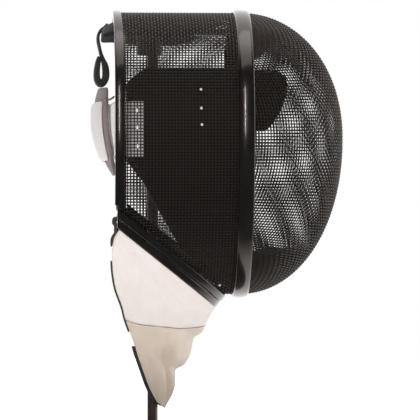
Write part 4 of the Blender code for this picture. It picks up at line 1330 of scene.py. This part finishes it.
class MASK_OT_throat_cloth(bpy.types.Operator):
    """Cut and hang the bib and its conductive skirt, with their seam, tapes and tabs"""
    bl_idname = "mask.throat_cloth"
    bl_label = "Throat cloth"

    def execute(self, context):
        look = context.scene.mask_cloth
        white = woven_cloth("White cloth", look.bib_colour, 1300.0, 0.12 * MM)
        lame = woven_cloth("Conductive cloth", look.skirt_colour, 1500.0, 0.10 * MM, rough=0.7,
                           spread=0.10)
        tape = black_tape()
        columns = [2 * share - 1 for share in shares(150)]
        seams = [seam_at(side) for side in columns]
        rows = [
            [cloth_point(side, CLOTH_TOP + (seam - CLOTH_TOP) * share,
                         ripple(side, share, look.fold_height) * share * 0.8)
             for side, seam in zip(columns, seams)]
            for share in shares(42)
        ]
        bib = sheet_piece(context, "bib_cloth", rows, CLOTH_WALL, THROAT, white,
                          replaces=("bib",))
        rows = [
            [cloth_point(side, seam + SEAM_GAP + (BIB_LENGTH - seam - SEAM_GAP) * share,
                         ripple(side, 1 + share, look.fold_height) * (1 - share) * 0.9)
             for side, seam in zip(columns, seams)]
            for share in shares(70)
        ]
        skirt = sheet_piece(context, "skirt_cloth", rows, CLOTH_WALL, THROAT, lame,
                            replaces=("bib_skirt",))
        self.seam(context, columns, seams)
        self.edgings(context, tape)
        self.tabs(context, tape)
        return {"FINISHED"}

    def area_of(self, rows):
        at = np.array([[tuple(point) for point in row] for row in rows])
        a, b = np.diff(at[:-1], axis=1), np.diff(at[:, :-1], axis=0)
        return float(np.linalg.norm(np.cross(a, b), axis=2).sum())

    def seam(self, context, columns, seams):
        """The thick line of stitches where the two cloths meet."""
        thread = woven_cloth("Seam thread", (0.30, 0.25, 0.23), 2500.0, 0.05 * MM)
        path = np.array([
            tuple(cloth_point(side, seam + SEAM_GAP / 2)) for side, seam in zip(columns, seams)
        ])
        line = np.stack([path, path - np.array(tuple(THROAT))], axis=1)
        tubes(context, "seam_thread", [line], SEAM_THREAD, thread, sides=8)

    def edgings(self, context, material):
        for start, end, width, ends in (
            (0.35, 0.69, 1.5 * MM, "bib_edging"), (0.76, 0.995, 3.4 * MM, "skirt_edging"),
        ):
            for side, word in SIDES:
                sections = []
                for share in shares(40):
                    here, behind, out = cloth_frame(side, BIB_LENGTH * (start + (end - start) * share))
                    middle = here - out * CLOTH_WALL / 2
                    sections.append([
                        middle + behind * (FIT + width / 2 * (1 - math.cos(a)))
                        + out * TAPE_HALF_WALL * signed(math.sin(a), 0.6) for a in circle(12)
                    ])
                swept(context, f"{ends}_tape_{word}", sections, material,
                      replaces=(f"{ends}_{word}",))

    def tabs(self, context, material):
        back = REAR_X - FIT
        trims_low = CORNER_Z - CLOTH_TOP / math.cos(JAW_SLOPE) - 2 * MM
        for side, word in SIDES:
            sections = []
            corner = section_point(CORNER_TURN, back).y * side
            for share in shares(24):
                z = CORNER_Z - TAB_START - TAB_LENGTH * share
                edge = cloth_point(side, cloth_down(side, z))
                near = Vector((edge.x - FIT, edge.y, z))
                head = Vector((back + far_ahead(edge.y), edge.y + (corner - edge.y) * 0.3, z))
                near = near.lerp(head, min(1.0, max(0.0, (z - trims_low) / (3 * MM) + 1)))
                half = read(TAB_ROWS, "down", "width", share) * TAB_WIDTH / 2
                wall = read(TAB_ROWS, "down", "wall", share) * TAB_HALF_WALL * side
                sections.append([
                    near + Vector((-half * (1 - math.cos(a)), wall * math.sin(a), 0))
                    for a in circle(12)
                ])
            swept(context, f"jaw_corner_tab_{word}", sections, material,
                  replaces=(f"corner_tab_{word}",))


class MASK_OT_liner(bpy.types.Operator):
    """Pad the crown, forehead, cheeks and chin"""
    bl_idname = "mask.liner"
    bl_label = "Liner pads"

    def execute(self, context):
        look = context.scene.mask_cloth
        cover = brushed_cloth("Brushed cover", look.pad_colour, 0.08)
        for name, node, rows, wall, fill in (
            ("crown_cushion", "crown_pad", crown_pad_rows(), 10.5 * MM, 0.7),
            ("forehead_cushion", "forehead_pad", forehead_pad_rows(), 6.8 * MM, 0.6),
            ("cheek_cushion_right", "cheek_pad_right", cheek_pad_rows(-1), 7.4 * MM, 0.6),
            ("cheek_cushion_left", "cheek_pad_left", cheek_pad_rows(1), 7.4 * MM, 0.6),
            ("temple_cushion_right", "temple_pad_right", temple_pad_rows(-1), 7 * MM, 0.6),
            ("temple_cushion_left", "temple_pad_left", temple_pad_rows(1), 7 * MM, 0.6),
            ("chin_cushion", "chin_pad", chin_pad_rows(), 6.8 * MM, 0.6),
        ):
            piece = soft_pad(context, name, rows, wall, CORE, cover, (node,))
        return {"FINISHED"}


class MASK_OT_head_cup(bpy.types.Operator):
    """Press the felt cup, the white pad on it, the side elastics and the thin ties"""
    bl_idname = "mask.head_cup"
    bl_label = "Head cup"

    def execute(self, context):
        look = context.scene.mask_cloth
        felt = brushed_cloth("Felt", look.felt_colour, 0.2, scale=900.0, depth=0.35 * MM)
        smooth = woven_cloth("Smooth white cover", look.white_colour, 2200.0, 0.04 * MM, rough=0.6)
        elastic = woven_cloth("White elastic", (0.95, 0.91, 0.89), 700.0, 0.18 * MM)
        tape = black_tape()
        rows = []
        for n in shares(44):
            z = CUP_TOP_Z - (CUP_TOP + CUP_BOTTOM) * n
            rows.append([cup_point(CUP_TURN * (2 * m - 1), z) for m in shares(48)])
        cup = soft_pad(context, "felt_cup", rows, CUP_WALL, CORE, felt,
                       ("head_cup",), edge=0.6)
        rows = []
        for n in shares(36):
            z = BACK_PAD_TOP - BACK_PAD_HEIGHT * n
            rows.append([cup_point(BACK_PAD_TURN * (2 * m - 1), z, FIT) for m in shares(40)])
        behind = Vector((-1, 0, EYE_HEIGHT))
        pad = soft_pad(context, "white_back_pad", rows, 3.2 * MM, behind, smooth,
                       ("back_pad",), edge=0.45)
        self.bands(context, elastic)
        self.ties(context, tape)
        return {"FINISHED"}

    def bands(self, context, material):
        under = MESH_WALL + FIT + CHANNEL_LEG + 1.2 * MM
        for side, word in SIDES:
            edge = REAR_X + far_ahead(REAR_HALF_WIDTH * side)
            leg_end = edge + CHANNEL_INNER - CHANNEL_BACK - FIT
            rows = []
            for n in shares(30):
                z = ELASTIC_TOP - ELASTIC_HEIGHT * n
                turn = turn_at_height(z) * side
                row = [section_point(turn, x, inset) for x, inset in (
                    (edge + 25 * MM, ELASTIC_INSET), (leg_end + 4 * MM, ELASTIC_INSET),
                    (leg_end + 1 * MM, under), (edge - CHANNEL_BACK, under),
                )]
                inside = [
                    cup_point((CUP_TURN - back) * side, z, -CUP_WALL - ELASTIC_GAP)
                    for back in (0.10, 0.28, 0.45)
                ]
                row.append(row[-1] + (inside[0] - row[-1]) * 0.12 + Vector((-1.2 * MM, 0, 0)))
                rows.append(smooth_line(row + inside, 4))
            band = sheet_piece(context, f"side_elastic_{word}", rows, ELASTIC_WALL, CORE,
                               material, (f"side_band_{word}",))

    def ties(self, context, material):
        for side, word in SIDES:
            start = cup_point(CUP_TURN * side, TIE_Z, -CUP_WALL / 2)
            start.y += side * 1.6 * MM
            turn = turn_at_height(TIE_Z) * side
            end = section_point(turn, REAR_X - CHANNEL_BACK - FIT, MESH_WALL)
            end.x += far_ahead(end.y) - 1.3 * MM
            sag = (start + end) / 2 + Vector((0, 0, -0.8 * MM))
            line = np.array([
                (tuple(point), (0.0, 0.0, 1.0)) for point in smooth_line([start, sag, end], 10)
            ])
            tubes(context, f"thin_elastic_{word}", [line], TIE_WIDTH, material,
                  (f"cup_tie_{word}",), sides=10)


class MASK_OT_top_strap(bpy.types.Operator):
    """Lead the webbing from the crown pad to the cup and back up as a loop"""
    bl_idname = "mask.top_strap"
    bl_label = "Top strap"

    def execute(self, context):
        web = woven_cloth("Black webbing", (0.028, 0.024, 0.022), 650.0, 0.35 * MM, spread=0.3)
        rows = [
            Vector((REAR_X - row["behind"] * CUP_BEHIND, 0,
                    CROWN_Z - row["down"] * (CROWN_Z - CUP_TOP_Z)))
            for row in STRAP_ROWS
        ]
        points = smooth_line(rows, 8)
        walls = smooth_line([row["wall"] * STRAP_WALL for row in STRAP_ROWS], 8)
        sections = []
        for i, point in enumerate(points):
            normal = way_at(points, i).cross(Vector((0, 1, 0))).normalized() * walls[i] / 2
            sections.append([
                point + Vector((0, signed(math.cos(a), 0.25) * STRAP_HALF_WIDTH, 0))
                + normal * signed(math.sin(a), 0.5) for a in circle(24)
            ])
        swept(context, "crown_webbing", sections, web, replaces=("top_strap",))
        return {"FINISHED"}


class MASK_OT_pad_threads(bpy.types.Operator):
    """Tie the pads to the wire with short white threads"""
    bl_idname = "mask.pad_threads"
    bl_label = "Pad threads"

    def execute(self, context):
        thread = woven_cloth("White thread", (0.80, 0.78, 0.75), 2500.0, 0.05 * MM)
        points, faces = [], []
        for pixel in THREAD_PIXELS:
            for side in (-1, 1):
                point, out = self.on_side(pixel, side)
                tall = 1.6 if pixel[0] < PIXEL_OF_POST else 1.15
                self.knot(points, faces, point, out, tall)
        add_piece(context, "pad_threads", points, faces, thread)
        return {"FINISHED"}

    def knot(self, points, faces, middle, out, tall):
        """A flat round knot on the mesh, taller than wide where the thread is drawn tight."""
        start = len(points)
        upright = (Vector((0, 0, 1)) - out * out.z).normalized()
        along = upright.cross(out)
        for ring in shares(KNOT_RINGS)[:-1]:
            lift, reach = math.sin(math.pi / 2 * ring), math.cos(math.pi / 2 * ring)
            for a in circle(KNOT_SIDES):
                around = along * math.cos(a) + upright * math.sin(a) * tall
                points.append(middle + around * reach * KNOT_RADIUS + out * (lift - 0.3) * MM)
        faces += grid_faces(KNOT_RINGS, KNOT_SIDES, joined=True, start=start)
        top = start + (KNOT_RINGS - 1) * KNOT_SIDES
        faces.append(tuple(range(top, top + KNOT_SIDES)))
        faces.append(tuple(reversed(range(start, start + KNOT_SIDES))))

    def on_side(self, pixel, side):
        """The point of the near mesh that shows at this pixel, or its mirror."""
        away, middle = REAR_HALF_WIDTH, PICTURE_SIDE / 2
        for _ in range(8):
            grow = 1 + away / CAMERA_AWAY
            px = middle + (pixel[0] - middle - PIXELS_ACROSS * away / MM) / grow
            py = middle + (pixel[1] - middle) / grow
            x = (px - PIXEL_OF_POST) * MM_PER_PIXEL * MM
            z = (PIXEL_OF_TABLE - py) * MM_PER_PIXEL * MM
            turn = turn_at_height(z)
            away = section_point(turn, x).y
        return section_point(turn * side, x), outward(turn * side, x)


class MASK_OT_stand(bpy.types.Operator):
    """Turn the base and the post and shape the rest plate"""
    bl_idname = "mask.stand"
    bl_label = "Stand"

    def execute(self, context):
        look = context.scene.mask_stand
        paint = enamel("Stand enamel", look.stand_colour, rough=0.34, spread=0.3, scale=25.0)
        low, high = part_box("stand_base")
        radius, edge = high.x, look.base_edge
        profile = [(0.0, 0.0), (radius - 0.6 * MM, 0.0), (radius, 0.6 * MM)]
        for share in shares(6):
            a = math.pi / 2 * share
            profile.append((radius - edge + edge * math.cos(a), high.z - edge + edge * math.sin(a)))
        profile.append((0.0, high.z))
        self.turned(context, "round_base", profile, 128, paint, "stand_base")
        low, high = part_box("stand_post")
        profile = self.rod(high.x, low.z, high.z)
        self.turned(context, "round_post", profile, 48, paint, "stand_post")
        low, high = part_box("stand_collar")
        profile = self.rod((high.y - low.y) / 2, low.z, high.z)
        middle = (low.x + high.x) / 2
        self.turned(context, "round_collar", profile, 64, paint, "stand_collar", middle)
        low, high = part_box("stand_rest")
        middle, half = (low + high) / 2, (high - low) / 2
        soft = 1.2 * MM
        sections = []
        for share in shares(8):
            a = math.pi * (share - 0.5)
            inset = soft * (1 - math.cos(a))
            z = middle.z + math.copysign(half.z - soft, a) + soft * math.sin(a) if a else middle.z
            section = []
            for centre, first in ((half.x - half.y, -math.pi / 2), (half.y - half.x, math.pi / 2)):
                for n in shares(20):
                    turn = first + math.pi * n
                    reach = half.y - inset
                    section.append(Vector((
                        middle.x + centre + reach * math.cos(turn), reach * math.sin(turn), z)))
            sections.append(section)
        swept(context, "rest_plate", sections, paint, replaces=("stand_rest",))
        return {"FINISHED"}

    def rod(self, radius, low, high, soft=0.5 * MM):
        """Half the outline of an upright rod with bevelled ends."""
        return [
            (0.0, low), (radius - soft, low), (radius, low + soft),
            (radius, high - soft), (radius - soft, high), (0.0, high),
        ]

    def turned(self, context, name, profile, sides, material, node, ahead=0.0):
        inner = profile[1:-1]
        points = [
            (ahead + r * math.cos(a), r * math.sin(a), z) for r, z in inner for a in circle(sides)
        ]
        faces = grid_faces(len(inner), sides, joined=True)
        for n, (r, z) in ((0, profile[0]), (len(inner) - 1, profile[-1])):
            points.append((ahead, 0.0, z))
            centre = len(points) - 1
            for k in range(sides):
                face = (n * sides + k, n * sides + (k + 1) % sides, centre)
                faces.append(tuple(reversed(face)) if n == 0 else face)
        piece = add_piece(context, name, points, faces, material, replaces=(node,))
        piece.data.set_sharp_from_angle(angle=math.radians(35))
        return piece


# Studio

class MASK_OT_stage(bpy.types.Operator):
    """Lay the pale floor, hang the soft lights and place the camera"""
    bl_idname = "mask.stage"
    bl_label = "Stage"

    def execute(self, context):
        scene = context.scene
        scene.view_settings.view_transform = "Standard"
        self.floor(context)
        self.surroundings(scene)
        for light in LIGHTS:
            self.lamp(context, **light)
        self.camera(context)
        return {"FINISHED"}

    def floor(self, context):
        material, b, shader = blank("Pale floor")
        place = b.add("ShaderNodeTexCoord").outputs["Object"]
        tone = b.group(wear_group(), Place=place, Scale=6.0, Contrast=0.4)
        b.give(shader, {
            "Base Color": b.mixed(tone["Shade"], dim(WHITE, 0.86), dim(WHITE, 0.9)),
            "Roughness": 0.7,
            "Emission Color": (1, 1, 1, 1),
            "Emission Strength": 0.72,
        })
        edit = bmesh.new()
        bmesh.ops.create_circle(edit, cap_ends=True, radius=1.6, segments=96)
        mesh = bpy.data.meshes.new("pale_floor")
        edit.to_mesh(mesh)
        edit.free()
        floor = bpy.data.objects.new("pale_floor", mesh)
        floor.location.z = -0.5 * MM
        mesh.materials.append(material)
        context.scene.collection.objects.link(floor)
        floor.visible_glossy = False

    def surroundings(self, scene):
        """White for the camera. What the gloss mirrors is white behind, above and below, and
        dim on the camera's side."""
        world = bpy.data.worlds.new("Studio")
        scene.world = world
        world.use_nodes = True
        b = Board(world.node_tree)
        way = b.add("ShaderNodeTexCoord").outputs["Generated"]
        x, y, z = b.add("ShaderNodeSeparateXYZ", {0: way}).outputs
        right = b.ramp(b.maths("MULTIPLY_ADD", y, 0.3, x), 0.82, 0.92)
        upright = b.maths("MULTIPLY", b.maths("ABSOLUTE", z), 0.9)
        behind = b.ramp(b.maths("MULTIPLY_ADD", y, 0.75, upright), 0.45, 0.8)
        ray = b.add("ShaderNodeLightPath").outputs
        share = b.maths("MULTIPLY_ADD", ray["Is Glossy Ray"], 0.85, 0.72)
        level = b.maths("MULTIPLY_ADD", b.maths("MAXIMUM", behind, right), share, 0.06)
        b.give(world.node_tree.nodes["Background"], {
            "Strength": b.maths("MAXIMUM", ray["Is Camera Ray"], level),
            "Color": (1, 1, 1, 1),
        })

    def lamp(self, context, name, turn, lift, away, size, watts, mirrored):
        """A soft light, turned to the middle of the mask."""
        a, e = math.radians(turn), math.radians(lift)
        aim = Vector((0.06, 0, 0.28))
        way = Vector((math.sin(a) * math.cos(e), -math.cos(a) * math.cos(e), math.sin(e)))
        light = bpy.data.lights.new(name, "AREA")
        light.shape = "RECTANGLE"
        light.size, light.size_y = size
        light.energy = watts
        light.color = (1.0, 0.985, 0.965)
        lamp = bpy.data.objects.new(name, light)
        lamp.location = aim + way * away
        lamp.visible_glossy = mirrored
        lamp.rotation_mode = "QUATERNION"
        lamp.rotation_quaternion = (-way).to_track_quat("-Z", "Y")
        context.scene.collection.objects.link(lamp)

    def camera(self, context):
        middle = PICTURE_SIDE / 2
        aim = Vector((
            (middle - PIXEL_OF_POST) * MM_PER_PIXEL * MM, 0,
            (PIXEL_OF_TABLE - middle) * MM_PER_PIXEL * MM,
        ))
        data = bpy.data.cameras.new("camera")
        camera = bpy.data.objects.new("camera", data)
        back = Vector((-math.sin(CAMERA_TURN), -math.cos(CAMERA_TURN), 0))
        camera.location = aim + back * CAMERA_AWAY
        camera.rotation_mode = "QUATERNION"
        camera.rotation_quaternion = (-back).to_track_quat("-Z", "Y")
        data.sensor_width = 36
        data.lens = 36 * CAMERA_AWAY / (PICTURE_SIDE * MM_PER_PIXEL * MM)
        data.clip_start, data.clip_end = 0.05, 20
        context.scene.collection.objects.link(camera)
        context.scene.camera = camera


class MASK_PT_panel(bpy.types.Panel):
    """Lists the mask's pieces in the order they are made"""
    bl_idname = "MASK_PT_panel"
    bl_label = "Fencing mask"
    bl_space_type = "VIEW_3D"
    bl_region_type = "UI"
    bl_category = "Fencing mask"

    def draw(self, context):
        column = self.layout.column()
        for look in (context.scene.mask_look, context.scene.mask_cloth, context.scene.mask_stand):
            for key in look.__annotations__:
                column.prop(look, key)
        for step in STEPS:
            column.operator(step.bl_idname)


STEPS = (
    MASK_OT_stage, MASK_OT_side_wires, MASK_OT_face_wires, MASK_OT_trims, MASK_OT_throat_cloth,
    MASK_OT_liner, MASK_OT_head_cup, MASK_OT_top_strap, MASK_OT_pad_threads, MASK_OT_stand,
)
CLASSES = (MaskLook, ClothLook, StandLook, *STEPS, MASK_PT_panel)


def register():
    for kind in CLASSES:
        bpy.utils.register_class(kind)
    bpy.types.Scene.mask_look = bpy.props.PointerProperty(type=MaskLook)
    bpy.types.Scene.mask_cloth = bpy.props.PointerProperty(type=ClothLook)
    bpy.types.Scene.mask_stand = bpy.props.PointerProperty(type=StandLook)


def unregister():
    del bpy.types.Scene.mask_stand
    del bpy.types.Scene.mask_cloth
    del bpy.types.Scene.mask_look
    for kind in reversed(CLASSES):
        bpy.utils.unregister_class(kind)


def main():
    register()
    for step in STEPS:
        group, name = step.bl_idname.split(".")
        getattr(getattr(bpy.ops, group), name)()


if __name__ == "__main__":
    main()
